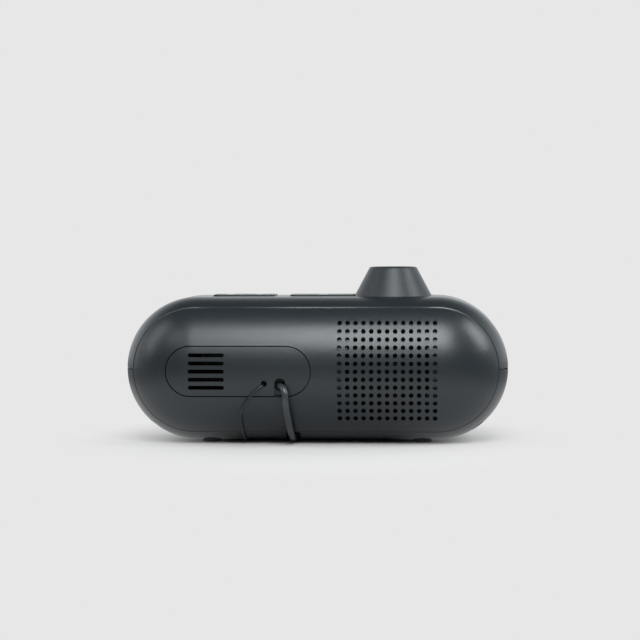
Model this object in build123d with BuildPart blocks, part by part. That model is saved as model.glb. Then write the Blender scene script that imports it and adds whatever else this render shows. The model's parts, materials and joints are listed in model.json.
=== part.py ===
from build123d import *
import math
import os

os.makedirs("parts", exist_ok=True)

# Projection alarm clock, in millimetres. +Z is up, the display looks along -Y, and the
# origin lies on the ground under the middle of the case.

# ---------------------------------------------------------------- driving dimensions
# case
CASE_W = 195.0  # from end to end
CASE_H = 73.0  # without its feet
BULGE_DEPTH = 30.0  # rounded back, behind the widest plane
BAND_DEPTH = 32.0  # straight part of the outer band
NOSE_DEPTH = 6.0  # rounded front edge of the band
NOSE_INSET = 4.0
WALL = 2.2
SEAM_DEPTH = 15.3  # seam of the rear shell, behind the widest plane
SEAM_GAP = 0.4  # shadow line round the rear shell
SEAM_GROOVE = 1.2
SEAM_EDGE = 0.5  # bevel of the band's edge at that seam
SPLIT_GAP = 0.6  # shadow line between the two halves of the band
SPLIT_GROOVE = 1.4
LIP_LENGTH = 3.0  # tongue of the rear shell inside the band
LIP_WALL = 1.2
FIT = 0.15  # gap between pieces that are joined for good
RUN = 0.05  # running fit
SLIDE = 0.3  # gap round pieces that move

# feet
FOOT_H = 1.2  # below the case
FOOT_R = 5.0
FOOT_SINK = 0.8
FOOT_X = 54.0
FOOT_Y = (-20.0, 4.0)

# front
FLANGE_T = 2.5  # front flange of the band
FLANGE_W = 1.2
LENS_T = 2.0
LENS_GAP = 0.25
BEZEL_T = 3.0
WINDOW_W = 120.0
WINDOW_H = 33.0
WINDOW_R = 4.0
DIGIT_BLOCK_T = 5.0
DIGIT_PITCH = 27.5
DIGIT_W = 17.0
DIGIT_MARGIN = 1.0  # window past the digits, above and below
SEGMENT_W = 4.0
SEGMENT_GAP = 0.5
SEGMENT_DEPTH = 1.5
COLON_R = 2.2
COLON_RISE = 6.5
DISPLAY_BOARD_END = 3.0  # display board past each end of the window
DISPLAY_BOARD_EDGE = 2.1  # display board past its screws, above and below
BOARD_T = 1.6

# fasteners: M3 for the case and the boards, M2 for the projector
SCREW_R = 1.4
SCREW_HEAD_R = 2.7
SCREW_HEAD_T = 1.8
SCREW_FIT = 0.05
SCREW_PASS = 0.3
BOSS_R = 3.2
CASE_BOSS_R = 4.4
CASE_SCREW_X = 82.0
CASE_SCREW_Y = (-12.0, 8.0)
CASE_SCREW_L = 14.0
CASE_SHOULDER = 6.5  # screw shoulder below the split
PILLAR_X = 70.0
PILLAR_RISE = 17.0
PILLAR_R = 3.4
FRONT_SCREW_L = 9.0
DISPLAY_SCREW_IN = 4.0  # inside each end of the window
DISPLAY_SCREW_CLEAR = 0.5  # between the digit block and the bosses
BOARD_SCREW_L = 4.6
SMALL_SCREW_R = 0.8
SMALL_HEAD_R = 1.5
SMALL_HEAD_T = 1.1
SMALL_SCREW_L = 4.5

# pads on the top: four keys and the snooze bar
PAD_L = 32.0
PAD_D = 20.0
KEY_PAD_X = 38.0
SNOOZE_X = -1.8  # middle between its switches
SNOOZE_L = 35.0  # longer than the key pad, with an end cut round the projector
PAD_RISE = 0.8
FRAME_RISE = 0.8
PAD_CORNER = 2.5
PAD_EDGE = 0.35
LIP_OUT = 1.0
LIP_T = 1.2
KEY_BORDER = 1.4
KEY_RIB = 1.6
KEY_LIP_OUT = 0.6
KEY_TRAVEL = 0.5
SNOOZE_TRAVEL = 0.8
STEM_R = 1.6
SNOOZE_STEM_X = 9.0
SWITCH_W = 6.0
SWITCH_H = 3.5
PLUNGER_R = 1.75
PLUNGER_H = 0.8
KEY_BOARD_DROP = 10.9  # top of the key board under the top of the case
KEY_BOARD_END = 3.0  # key board past each pad

# projector
CONE_X = -38.8
CONE_BACK = 15.0  # axis in front of the widest plane
CONE_R = 20.0
CONE_TOP_R = 12.0
CONE_H = 15.0
CONE_WALL = 2.2
CONE_RIM = 1.8
WELL_DEPTH = 1.0
WELL_GAP = 0.3
WELL_WEB = 0.8  # wall between the well and the opening of the snooze bar
SPIGOT_R = 15.0
SPIGOT_WALL = 2.2
MOUTH_R = 10.0
MOUTH_DEPTH = 6.0
WASHER_W = 3.4
WASHER_T = 0.2
TUBE_R = 8.0
TUBE_WALL = 1.2
TUBE_BELOW = 22.0
TUBE_FLANGE_R = 17.5
TUBE_FLANGE_T = 1.5
RING_WALL = 2.1
RING_SUNK = 0.7
RING_FLANGE = 1.6
RING_FLANGE_T = 1.2
RING_NOTCHES = 24
NOTCH_R = 0.35
CELL_WALL = 1.2
CELL_L = 8.0
CELL_SUNK = 1.1  # lens cell below the focus ring, at its highest
FOCUS_TRAVEL = 0.9  # up or down
LENS_BULGE = 1.2
LENS_EDGE = 1.4
CONDENSER_RISE = 9.0
LCD_RISE = 15.0
LCD_W = 11.0
LCD_T = 1.1
LCD_FRAME_T = 2.4
LED_R = 2.5
LED_H = 4.5

# speaker behind the sound holes
GRID_X = -36.6
GRID_N = 13
GRID_PITCH = 3.96
HOLE_R = 1.17
SPEAKER_W = 50.0
BAFFLE_W = 52.0
BAFFLE_R = 22.8
SPEAKER_Y = 21.6  # plane where the speaker meets its baffle
FLANGE_STEEL = 1.2
BASKET_R = 22.6
BASKET_BACK_R = 14.0
BASKET_DEPTH = 13.4
BASKET_T = 1.0
BASKET_WINDOW_W = 12.0
MAGNET_R = 15.0
MAGNET_T = 6.5
COIL_GAP_IN = 6.0
COIL_GAP_OUT = 7.6
COIL_GAP_DEPTH = 4.0
VOICE_COIL_R = 7.1
VOICE_COIL_T = 0.5
PAPER_R = 19.4
PAPER_T = 0.5
PAPER_DEPTH = 7.0
SURROUND_R = 22.2
CAP_RISE = 2.4
SPEAKER_SCREW = 20.5
SPEAKER_SCREW_L = 4.0

# vent panel
PANEL_X = 37.85
PANEL_L = 73.4
PANEL_H = 25.7
PANEL_T = 2.0
PANEL_GAP = 0.55
PANEL_FLOOR = 1.8
PANEL_MARGIN = 2.4
SLOT_X = 53.7
SLOT_L = 18.1
SLOT_H = 2.0
SLOT_PITCH = 4.05
SLOT_N = 5
VENT_OPEN_W = 20.0
VENT_OPEN_H = 19.0
HOLE_DROP = 6.0  # cord and antenna holes under half height
CORD_HOLE_X = 16.75
CORD_HOLE_R = 2.75
CORD_DROP = 1.2  # the shell's cord hole reaches this much lower than the panel's
ANTENNA_HOLE_X = 24.65
ANTENNA_HOLE_R = 1.5

# main board
BOARD_X0 = 1.5
BOARD_X1 = 69.5
BOARD_Y0 = -17.0
BOARD_Y1 = 15.0
BOARD_Z = 11.2
BOARD_HOLE_IN = 3.5
CHIP_W = 12.0
CHIP_T = 1.6
CAN_L = 22.0
CAN_W = 8.0
CAN_H = 4.0
CAPACITOR_R = 4.0
CAPACITOR_H = 11.0
SINK_W = 18.0
SINK_D = 9.0
SINK_H = 20.0
SINK_FINS = 6
FIN_T = 1.0
SINK_BASE = 2.0

# battery back-up under the case: a 20 mm coin cell
CELL_X = -12.0
CELL_Y = -12.0
COIN_R = 10.0
COIN_T = 3.2
COIN_GAP = 0.4
CUP_WALL = 1.8
CONTACT_T = 0.5
DOOR_W = 27.0
DOOR_D = 25.0
DOOR_T = 1.4
DOOR_GAP = 0.2
DOOR_SCREW_X = 11.8
DOOR_SCREW_L = 5.0

# cords
LEAD_R = 1.75
WIRE_R = 0.5
CHANNEL_X = 11.4
CHANNEL_W = 7.0
CHANNEL_ROOF = 4.3
CHANNEL_MOUTH = 6.5
CHANNEL_FLARE = 8.0
CHANNEL_WALL = 1.2
CLAMP_W = 20.0
CLAMP_H = 9.0
CLAMP_T = 6.0
CLAMP_GRIP = 1.5
LEAD_COIL_R = 20.0
LEAD_COIL_W = 11.0
LEAD_COIL_H = 13.0
LEAD_COIL_X = -12.8
WIRE_COIL_R = 6.0
WIRE_COIL_W = 5.0
WIRE_COIL_H = 5.0
WIRE_COIL_X = 28.0
COIL_SPACE = 4.0  # between the case and the coils
TIE_W = 6.0
TIE_T = 0.5
PLUG_L = 22.0
PLUG_W = 16.0
PLUG_H = 8.0
PLUG_SHELL_L = 12.0
PLUG_SHELL_W = 12.0
PLUG_SHELL_H = 4.5
RELIEF_L = 12.0
RELIEF_R = 2.9

# the power lead from its clamp over the back, down to the ground and under the case
LEAD_POINTS = [
    (17.6, 28.0, 30.5),
    (17.1, 31.7, 30.3),
    (15.2, 35.2, 29.9),
    (13.9, 37.0, 27.4),
    (13.85, 36.9, 22.8),
    (13.2, 35.3, 17.4),
    (12.45, 31.8, 12.0),
    (11.95, 26.6, 7.5),
    (11.65, 20.6, 4.4),
    (11.5, 14.0, 2.5),
    (11.6, 5.0, 1.8),
    (11.3, -8.0, 1.78),
    (10.9, -22.0, 1.78),
    (10.0, -34.5, 1.78),
    (8.7, -44.0, 1.9),
    (7.4, -51.0, 2.4),
]
# the antenna wire, the same way round
WIRE_POINTS = [
    (24.6, 28.0, 31.5),
    (24.7, 33.1, 31.4),
    (26.8, 34.9, 29.7),
    (31.5, 34.4, 25.4),
    (35.0, 32.7, 20.6),
    (36.5, 31.0, 17.0),
    (36.9, 29.2, 14.2),
    (36.7, 26.6, 11.2),
    (36.3, 23.0, 7.6),
    (36.1, 18.0, 3.6),
    (36.0, 11.5, 1.2),
    (36.1, 2.0, 0.55),
    (36.3, -10.0, 0.52),
    (36.0, -23.0, 0.52),
    (35.2, -34.0, 0.6),
    (34.0, -42.0, 1.2),
]

# ---------------------------------------------------------------- places worked out
BODY_R = CASE_H / 2
END_X = CASE_W / 2 - BODY_R
MID_Z = FOOT_H + BODY_R
TOP_Z = FOOT_H + CASE_H
BACK_Y = (BULGE_DEPTH + BAND_DEPTH + NOSE_DEPTH) / 2
WIDE_Y = BACK_Y - BULGE_DEPTH
NOSE_Y = WIDE_Y - BAND_DEPTH
FRONT_Y = NOSE_Y - NOSE_DEPTH
SEAM_Y = WIDE_Y + SEAM_DEPTH
FLANGE_Y = FRONT_Y + FLANGE_T
PAD_Y = WIDE_Y - CONE_BACK
CONE_Y = WIDE_Y - CONE_BACK
FAR = 2 * CASE_W  # longer than anything that is cut


def upright(y):
    """Sketch plane that stands at y, with X to the right and Z up."""
    return Plane.XZ.offset(-y)


def level(z):
    """Sketch plane that lies at height z."""
    return Plane.XY.offset(z)


def case_depth(rise, inset=0.0):
    """How far back the case's surface reaches at a height from its middle."""
    return WIDE_Y + (BULGE_DEPTH - inset) * math.sqrt(1 - (rise / (BODY_R - inset)) ** 2)


def half_outline(inset):
    """Side view of the case above half height: back, band and nose."""
    back = BULGE_DEPTH - inset
    rise = BODY_R - inset
    with BuildSketch() as outline:
        with BuildLine():
            EllipticalCenterArc((WIDE_Y, MID_Z), back, rise, start_angle=0, arc_size=90)
            Line((WIDE_Y, MID_Z + rise), (NOSE_Y, MID_Z + rise))
            nose_z = MID_Z + rise - NOSE_INSET
            EllipticalCenterArc(
                (NOSE_Y, nose_z), NOSE_DEPTH, NOSE_INSET, start_angle=90, arc_size=90
            )
            Line((FRONT_Y, nose_z), (FRONT_Y, MID_Z))
            Line((FRONT_Y, MID_Z), (WIDE_Y + back, MID_Z))
        make_face()
    return outline.sketch


def pebble(inset=0.0):
    """The case as a solid form, drawn in by inset all round but the flat front."""
    outline = half_outline(inset)
    with BuildPart() as form:
        with BuildSketch(Plane.YZ.offset(-END_X)):
            add(outline)
            mirror(about=Plane.XZ.offset(-MID_Z))
        extrude(amount=2 * END_X)
        for side in (1, -1):
            with BuildSketch(Plane.YZ.offset(side * END_X)):
                add(outline)
            revolve(axis=Axis((side * END_X, 0, MID_Z), (0, side, 0)), revolution_arc=180)
    return form.part


def finish(part, name):
    """Label a finished piece and write it."""
    part.label = name
    export_step(part, f"parts/{name}.step")
    print(f"{name}: {len(part.solids())} solids, {part.volume:.0f} mm3")


OUTER = pebble()
INNER = pebble(WALL)
CORE = pebble(WALL / 2)

# ---------------------------------------------------------------- shell of the band
with BuildPart() as cavity:
    add(INNER)
    split(bisect_by=upright(FLANGE_Y), keep=Keep.BOTTOM)

with BuildPart() as band:
    add(OUTER)
    split(bisect_by=upright(SEAM_Y), keep=Keep.TOP)
    chamfer(band.edges().group_by(Axis.Y)[-1], SEAM_EDGE)
    add(cavity.part, mode=Mode.SUBTRACT)
    with BuildSketch(upright(FLANGE_Y)):
        with Locations((0, MID_Z)):
            SlotCenterToCenter(2 * END_X, 2 * (BODY_R - NOSE_INSET - FLANGE_W))
    extrude(amount=FLANGE_T, mode=Mode.SUBTRACT)

with BuildPart() as split_groove:
    with BuildSketch(level(MID_Z)):
        Rectangle(FAR, FAR)
    extrude(amount=SPLIT_GAP)
    add(pebble(SPLIT_GROOVE), mode=Mode.SUBTRACT)

CASE_SCREWS = [(side * CASE_SCREW_X, y) for side in (1, -1) for y in CASE_SCREW_Y]
KEY_BOARD_Z = TOP_Z - KEY_BOARD_DROP
KEY_BOARD_X0 = SNOOZE_X - PAD_L / 2 - KEY_BOARD_END / 2
KEY_BOARD_X1 = KEY_PAD_X + PAD_L / 2 + KEY_BOARD_END
KEY_BOARD_HOLES = [
    (x, PAD_Y + side * (PAD_D / 2 + LIP_OUT + SLIDE + BOSS_R))
    for x in (SNOOZE_X, KEY_PAD_X)
    for side in (1, -1)
]



def snooze_outline(grown_by):
    """Outline of the snooze bar from above, grown all round."""
    with BuildSketch() as outline:
        with Locations((SNOOZE_X + (PAD_L - SNOOZE_L) / 2, PAD_Y)):
            RectangleRounded(
                SNOOZE_L + 2 * grown_by, PAD_D + 2 * grown_by, PAD_CORNER + grown_by
            )
        with Locations((CONE_X, CONE_Y)):
            Circle(CONE_R + WELL_GAP + WELL_WEB + SLIDE - grown_by, mode=Mode.SUBTRACT)
    return outline.sketch


# ---------------------------------------------------------------- upper half of the band
with BuildPart() as top_cover:
    # screw posts and key board bosses hang from the roof
    with BuildSketch(level(MID_Z)):
        with Locations(*CASE_SCREWS):
            Circle(CASE_BOSS_R)
    extrude(amount=BODY_R)
    with BuildSketch(level(KEY_BOARD_Z)):
        with Locations(*KEY_BOARD_HOLES):
            Circle(BOSS_R - SLIDE)
    extrude(amount=KEY_BOARD_DROP)
    add(CORE, mode=Mode.INTERSECT)
    add(band.part)
    split(bisect_by=level(MID_Z), keep=Keep.TOP)
    add(split_groove.part, mode=Mode.SUBTRACT)
    # pad openings
    with BuildSketch(level(TOP_Z - 2 * WALL)):
        with Locations((KEY_PAD_X, PAD_Y)):
            RectangleRounded(PAD_L + 2 * SLIDE, PAD_D + 2 * SLIDE, PAD_CORNER + SLIDE)
        add(snooze_outline(SLIDE))
    extrude(amount=3 * WALL, mode=Mode.SUBTRACT)
    # well and hole of the projector
    with BuildSketch(level(TOP_Z - WELL_DEPTH)):
        with Locations((CONE_X, CONE_Y)):
            Circle(CONE_R + WELL_GAP)
    extrude(amount=2 * WELL_DEPTH, mode=Mode.SUBTRACT)
    with BuildSketch(level(TOP_Z - 2 * WALL)):
        with Locations((CONE_X, CONE_Y)):
            Circle(SPIGOT_R + WELL_GAP)
    extrude(amount=3 * WALL, mode=Mode.SUBTRACT)
    # pilot holes
    with BuildSketch(level(MID_Z)):
        with Locations(*CASE_SCREWS):
            Circle(SCREW_R + SCREW_FIT)
    extrude(amount=CASE_SCREW_L, mode=Mode.SUBTRACT)
    with BuildSketch(level(KEY_BOARD_Z)):
        with Locations(*KEY_BOARD_HOLES):
            Circle(SCREW_R + SCREW_FIT)
    extrude(amount=BOARD_SCREW_L, mode=Mode.SUBTRACT)
finish(top_cover.part, "top_cover")

# ---------------------------------------------------------------- lower half of the band
FEET = [(side * FOOT_X, y) for side in (1, -1) for y in FOOT_Y]
BOARD_HOLES = [
    (x, y)
    for x in (BOARD_X0 + BOARD_HOLE_IN, BOARD_X1 - BOARD_HOLE_IN)
    for y in (BOARD_Y0 + BOARD_HOLE_IN, BOARD_Y1 - BOARD_HOLE_IN)
]
SHOULDER_Z = MID_Z - CASE_SHOULDER
CUP_ROOF = FOOT_H + DOOR_T + COIN_T + 3 * CONTACT_T
DOOR_BOSS_Z = FOOT_H + DOOR_T + DOOR_SCREW_L + CUP_WALL
DOOR_SCREW = (CELL_X - DOOR_SCREW_X, CELL_Y - DOOR_D / 2 + BOSS_R)


def channel(raise_by):
    """Side view of the cable channel, raised by a wall; it opens towards the back."""
    with BuildSketch() as profile:
        with BuildLine():
            Polyline(
                (FRONT_Y - 1, 0),
                (FRONT_Y - 1, CHANNEL_ROOF + raise_by),
                (SEAM_Y - CHANNEL_FLARE, CHANNEL_ROOF + raise_by),
                (SEAM_Y, CHANNEL_MOUTH + raise_by),
                (SEAM_Y, 0),
                close=True,
            )
        make_face()
    return profile.sketch


with BuildPart() as bottom_cover:
    # screw posts, board bosses, cell cup and channel wall stand on the floor
    with BuildSketch(level(FOOT_H)):
        with Locations(*CASE_SCREWS):
            Circle(CASE_BOSS_R)
    extrude(amount=BODY_R)
    with BuildSketch(level(FOOT_H)):
        with Locations(*BOARD_HOLES):
            Circle(BOSS_R)
    extrude(amount=BOARD_Z - FOOT_H)
    with BuildSketch(level(FOOT_H)):
        with Locations((CELL_X, CELL_Y)):
            Circle(COIN_R + COIN_GAP + CUP_WALL)
    extrude(amount=CUP_ROOF + CUP_WALL - FOOT_H)
    with BuildSketch(level(FOOT_H)):
        with Locations(DOOR_SCREW):
            Circle(SMALL_SCREW_R + CUP_WALL)
    extrude(amount=DOOR_BOSS_Z - FOOT_H)
    with BuildSketch(Plane.YZ.offset(CHANNEL_X - CHANNEL_W / 2 - CHANNEL_WALL)):
        add(channel(CHANNEL_WALL))
    extrude(amount=CHANNEL_W + 2 * CHANNEL_WALL)
    add(CORE, mode=Mode.INTERSECT)
    add(band.part)
    split(bisect_by=level(MID_Z), keep=Keep.BOTTOM)
    # cable channel
    with BuildSketch(Plane.YZ.offset(CHANNEL_X - CHANNEL_W / 2)):
        add(channel(0))
    extrude(amount=CHANNEL_W, mode=Mode.SUBTRACT)
    # sockets of the feet
    with BuildSketch(level(FOOT_H + FOOT_SINK)):
        with Locations(*FEET):
            Circle(FOOT_R)
    extrude(amount=-2 * FOOT_H, mode=Mode.SUBTRACT)
    # cell cup and its door
    with BuildSketch(level(CUP_ROOF)):
        with Locations((CELL_X, CELL_Y)):
            Circle(COIN_R + COIN_GAP)
    extrude(amount=-CUP_ROOF, mode=Mode.SUBTRACT)
    with BuildSketch(level(FOOT_H + DOOR_T)):
        with Locations((CELL_X, CELL_Y)):
            Rectangle(DOOR_W + 2 * DOOR_GAP, DOOR_D + 2 * DOOR_GAP)
    extrude(amount=-2 * FOOT_H, mode=Mode.SUBTRACT)
    with BuildSketch(level(FOOT_H)):
        with Locations(DOOR_SCREW):
            Circle(SMALL_SCREW_R + SCREW_FIT)
    extrude(amount=DOOR_T + DOOR_SCREW_L, mode=Mode.SUBTRACT)
    # pilot holes of the main board, and stepped holes of the case screws
    with BuildSketch(level(BOARD_Z)):
        with Locations(*BOARD_HOLES):
            Circle(SCREW_R + SCREW_FIT)
    extrude(amount=-BOARD_SCREW_L, mode=Mode.SUBTRACT)
    with BuildSketch(level(SHOULDER_Z)):
        with Locations(*CASE_SCREWS):
            Circle(SCREW_HEAD_R + SCREW_PASS)
    extrude(amount=-MID_Z, mode=Mode.SUBTRACT)
    with BuildSketch(level(SHOULDER_Z)):
        with Locations(*CASE_SCREWS):
            Circle(SCREW_R + SCREW_PASS)
    extrude(amount=MID_Z, mode=Mode.SUBTRACT)
finish(bottom_cover.part, "bottom_cover")

with BuildPart() as case_screws:
    with BuildSketch(level(SHOULDER_Z)):
        with Locations(*CASE_SCREWS):
            Circle(SCREW_R)
    extrude(amount=CASE_SCREW_L)
    with BuildSketch(level(SHOULDER_Z)):
        with Locations(*CASE_SCREWS):
            Circle(SCREW_HEAD_R)
    extrude(amount=-SCREW_HEAD_T)
finish(case_screws.part, "case_screws")

with BuildPart() as feet:
    with BuildSketch(level(0)):
        with Locations(*FEET):
            Circle(FOOT_R - RUN)
    extrude(amount=FOOT_H + FOOT_SINK)
    fillet(feet.edges().group_by(Axis.Z)[0], FOOT_H / 4)
finish(feet.part, "feet")

# ---------------------------------------------------------------- rear shell
PILLARS = [
    (sx * PILLAR_X, MID_Z + sz * PILLAR_RISE) for sx in (1, -1) for sz in (1, -1)
]
BEZEL_BACK_Y = FLANGE_Y + BEZEL_T
PANEL_BACK = PANEL_T + PANEL_FLOOR
HOLE_Z = MID_Z - HOLE_DROP

with BuildPart() as seam_groove:
    with BuildSketch(upright(SEAM_Y + SEAM_GAP)):
        Rectangle(FAR, FAR)
    extrude(amount=SEAM_GAP)
    add(pebble(SEAM_GROOVE), mode=Mode.SUBTRACT)

with BuildPart() as panel_pocket:
    # everything outside the surface on which the vent panel lies
    with BuildSketch(upright(BACK_Y + 1)):
        with Locations((PANEL_X, MID_Z)):
            SlotOverall(PANEL_L, PANEL_H)
    extrude(amount=BACK_Y + 1 - SEAM_Y)
    add(pebble(PANEL_T), mode=Mode.SUBTRACT)

with BuildPart() as panel_bed:
    # thicker wall behind the vent panel
    with BuildSketch(upright(BACK_Y)):
        with Locations((PANEL_X, MID_Z)):
            SlotOverall(PANEL_L + 2 * PANEL_MARGIN, PANEL_H + 2 * PANEL_MARGIN)
    extrude(amount=BACK_Y - SEAM_Y)
    add(pebble(WALL / 2), mode=Mode.INTERSECT)
    add(pebble(PANEL_BACK), mode=Mode.SUBTRACT)

with BuildPart() as rear_lip:
    # tongue that centres the rear shell in the band, and its root in the dome
    add(pebble(WALL + FIT))
    split(bisect_by=upright(SEAM_Y), keep=Keep.TOP)
    split(bisect_by=upright(SEAM_Y - LIP_LENGTH), keep=Keep.BOTTOM)
    add(pebble(WALL + FIT + LIP_WALL), mode=Mode.SUBTRACT)

with BuildPart() as lip_root:
    add(CORE)
    split(bisect_by=upright(SEAM_Y + WALL / 2), keep=Keep.TOP)
    split(bisect_by=upright(SEAM_Y), keep=Keep.BOTTOM)
    add(pebble(WALL + FIT + LIP_WALL), mode=Mode.SUBTRACT)

with BuildPart() as rear_dome:
    add(OUTER)
    split(bisect_by=upright(SEAM_Y), keep=Keep.BOTTOM)
    add(INNER, mode=Mode.SUBTRACT)

with BuildPart() as rear_shell:
    # four pillars reach forward to the front bezel
    with BuildSketch(upright(BACK_Y)):
        with Locations(*PILLARS):
            Circle(PILLAR_R)
    extrude(amount=BACK_Y - BEZEL_BACK_Y)
    add(CORE, mode=Mode.INTERSECT)
    with BuildSketch(upright(BEZEL_BACK_Y + FRONT_SCREW_L)):
        with Locations(*PILLARS):
            Circle(SCREW_R + SCREW_FIT)
    extrude(amount=FRONT_SCREW_L, mode=Mode.SUBTRACT)
    add(rear_dome.part)
    add(rear_lip.part)
    add(lip_root.part)
    add(panel_bed.part)
    add(seam_groove.part, mode=Mode.SUBTRACT)
    add(panel_pocket.part, mode=Mode.SUBTRACT)
    # sound holes
    with BuildSketch(upright(BACK_Y)):
        with Locations((GRID_X, MID_Z)):
            with GridLocations(GRID_PITCH, GRID_PITCH, GRID_N, GRID_N):
                Circle(HOLE_R)
    extrude(amount=BACK_Y - SEAM_Y, mode=Mode.SUBTRACT)
    # openings behind the vent panel
    with BuildSketch(upright(BACK_Y)):
        with Locations((SLOT_X, MID_Z)):
            Rectangle(VENT_OPEN_W, VENT_OPEN_H)
        with Locations((CORD_HOLE_X, HOLE_Z - CORD_DROP / 2)):
            SlotOverall(2 * CORD_HOLE_R + CORD_DROP, 2 * CORD_HOLE_R, rotation=90)
        with Locations((ANTENNA_HOLE_X, HOLE_Z)):
            Circle(ANTENNA_HOLE_R)
    extrude(amount=BACK_Y - SEAM_Y, mode=Mode.SUBTRACT)
finish(rear_shell.part, "rear_shell")

with BuildPart() as vent_panel:
    with BuildSketch(upright(BACK_Y)):
        with Locations((PANEL_X, MID_Z)):
            SlotOverall(PANEL_L - 2 * PANEL_GAP, PANEL_H - 2 * PANEL_GAP)
            with Locations((SLOT_X - PANEL_X, 0)):
                with GridLocations(0, SLOT_PITCH, 1, SLOT_N):
                    SlotOverall(SLOT_L, SLOT_H, mode=Mode.SUBTRACT)
        with Locations((CORD_HOLE_X, HOLE_Z)):
            Circle(CORD_HOLE_R, mode=Mode.SUBTRACT)
            # notch that lets the lead into its hole
            Rectangle(
                2 * CORD_HOLE_R, PANEL_H, align=(Align.CENTER, Align.MAX), mode=Mode.SUBTRACT
            )
        with Locations((ANTENNA_HOLE_X, HOLE_Z)):
            Circle(ANTENNA_HOLE_R, mode=Mode.SUBTRACT)
    extrude(amount=BACK_Y - SEAM_Y)
    add(OUTER, mode=Mode.INTERSECT)
    add(pebble(PANEL_T - RUN), mode=Mode.SUBTRACT)
finish(vent_panel.part, "vent_panel")

# ---------------------------------------------------------------- front
BEZEL_R = (
    BODY_R - WALL - FIT
    - NOSE_INSET * (1 - math.sqrt(1 - ((NOSE_Y - FLANGE_Y) / NOSE_DEPTH) ** 2))
)
LENS_R = BODY_R - NOSE_INSET - FLANGE_W - LENS_GAP
DISPLAY_BOSS_R = BOSS_R - SLIDE
DISPLAY_SCREW_RISE = WINDOW_H / 2 + DISPLAY_SCREW_CLEAR + DISPLAY_BOSS_R
DISPLAY_SCREWS = [
    (sx * (WINDOW_W / 2 - DISPLAY_SCREW_IN), MID_Z + sz * DISPLAY_SCREW_RISE)
    for sx in (1, -1)
    for sz in (1, -1)
]
BLOCK_BACK_Y = BEZEL_BACK_Y + FIT + DIGIT_BLOCK_T
DISPLAY_BOARD_Y = BLOCK_BACK_Y + BOARD_T

with BuildPart() as front_bezel:
    with BuildSketch(upright(BEZEL_BACK_Y)):
        with Locations((0, MID_Z)):
            SlotCenterToCenter(2 * END_X, 2 * BEZEL_R)
    extrude(amount=BEZEL_T)
    with BuildSketch(upright(BLOCK_BACK_Y)):
        with Locations(*DISPLAY_SCREWS):
            Circle(DISPLAY_BOSS_R)
    extrude(amount=BLOCK_BACK_Y - FLANGE_Y)
    with BuildSketch(upright(BEZEL_BACK_Y)):
        with Locations((0, MID_Z)):
            RectangleRounded(WINDOW_W, WINDOW_H, WINDOW_R)
    extrude(amount=BEZEL_T, mode=Mode.SUBTRACT)
    # pilot holes for the display board
    with BuildSketch(upright(BLOCK_BACK_Y)):
        with Locations(*DISPLAY_SCREWS):
            Circle(SCREW_R + SCREW_FIT)
    extrude(amount=BOARD_SCREW_L, mode=Mode.SUBTRACT)
    # sunk holes for the screws into the pillars
    with BuildSketch(upright(BEZEL_BACK_Y)):
        with Locations(*PILLARS):
            Circle(SCREW_R + SCREW_PASS)
    extrude(amount=BEZEL_T, mode=Mode.SUBTRACT)
    with BuildSketch(upright(FLANGE_Y + SCREW_HEAD_T)):
        with Locations(*PILLARS):
            Circle(SCREW_HEAD_R + SCREW_PASS)
    extrude(amount=SCREW_HEAD_T, mode=Mode.SUBTRACT)
    # room for the cable channel
    with BuildSketch(upright(BEZEL_BACK_Y)):
        with Locations((CHANNEL_X, MID_Z - BEZEL_R)):
            Rectangle(
                CHANNEL_W + 2 * (CHANNEL_WALL + FIT),
                2 * (CHANNEL_ROOF + CHANNEL_WALL + FIT - (MID_Z - BEZEL_R)),
            )
    extrude(amount=BEZEL_T, mode=Mode.SUBTRACT)
finish(front_bezel.part, "front_bezel")

with BuildPart() as front_screws:
    with BuildSketch(upright(FLANGE_Y + SCREW_HEAD_T)):
        with Locations(*PILLARS):
            Circle(SCREW_HEAD_R)
    extrude(amount=SCREW_HEAD_T - FIT)
    with BuildSketch(upright(FLANGE_Y + FRONT_SCREW_L)):
        with Locations(*PILLARS):
            Circle(SCREW_R)
    extrude(amount=FRONT_SCREW_L - SCREW_HEAD_T)
finish(front_screws.part, "front_screws")

with BuildPart() as display_window:
    with BuildSketch(upright(FLANGE_Y)):
        with Locations((0, MID_Z)):
            SlotCenterToCenter(2 * END_X, 2 * LENS_R)
    extrude(amount=LENS_T)
    fillet(display_window.edges().group_by(Axis.Y)[0], LENS_T / 5)
finish(display_window.part, "display_window")

# the four digits and their colon; a digit's segments are named as usual, from a to g
SEGMENT_RISE = (WINDOW_H - SEGMENT_W) / 2 - DIGIT_MARGIN
SEGMENT_REACH = (DIGIT_W - SEGMENT_W) / 2
FLAT_L = DIGIT_W - SEGMENT_W - SEGMENT_GAP
TALL_L = SEGMENT_RISE - SEGMENT_GAP
# centre across (as the viewer in front sees it), centre above the middle, length, turn
SEGMENTS = {
    "a": (0, SEGMENT_RISE, FLAT_L, 0),
    "b": (SEGMENT_REACH, SEGMENT_RISE / 2, TALL_L, 90),
    "c": (SEGMENT_REACH, -SEGMENT_RISE / 2, TALL_L, 90),
    "d": (0, -SEGMENT_RISE, FLAT_L, 0),
    "e": (-SEGMENT_REACH, -SEGMENT_RISE / 2, TALL_L, 90),
    "f": (-SEGMENT_REACH, SEGMENT_RISE / 2, TALL_L, 90),
    "g": (0, 0, FLAT_L, 0),
}
SHOWN = ("bc", "abcdef", "abcdef", "abcdefg")  # the time 10:08
DIGIT_PLACES = [(i - 1.5) * DIGIT_PITCH + math.copysign(COLON_R, i - 1.5) for i in range(4)]
BLOCK_FRONT_Y = BEZEL_BACK_Y + FIT


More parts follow.
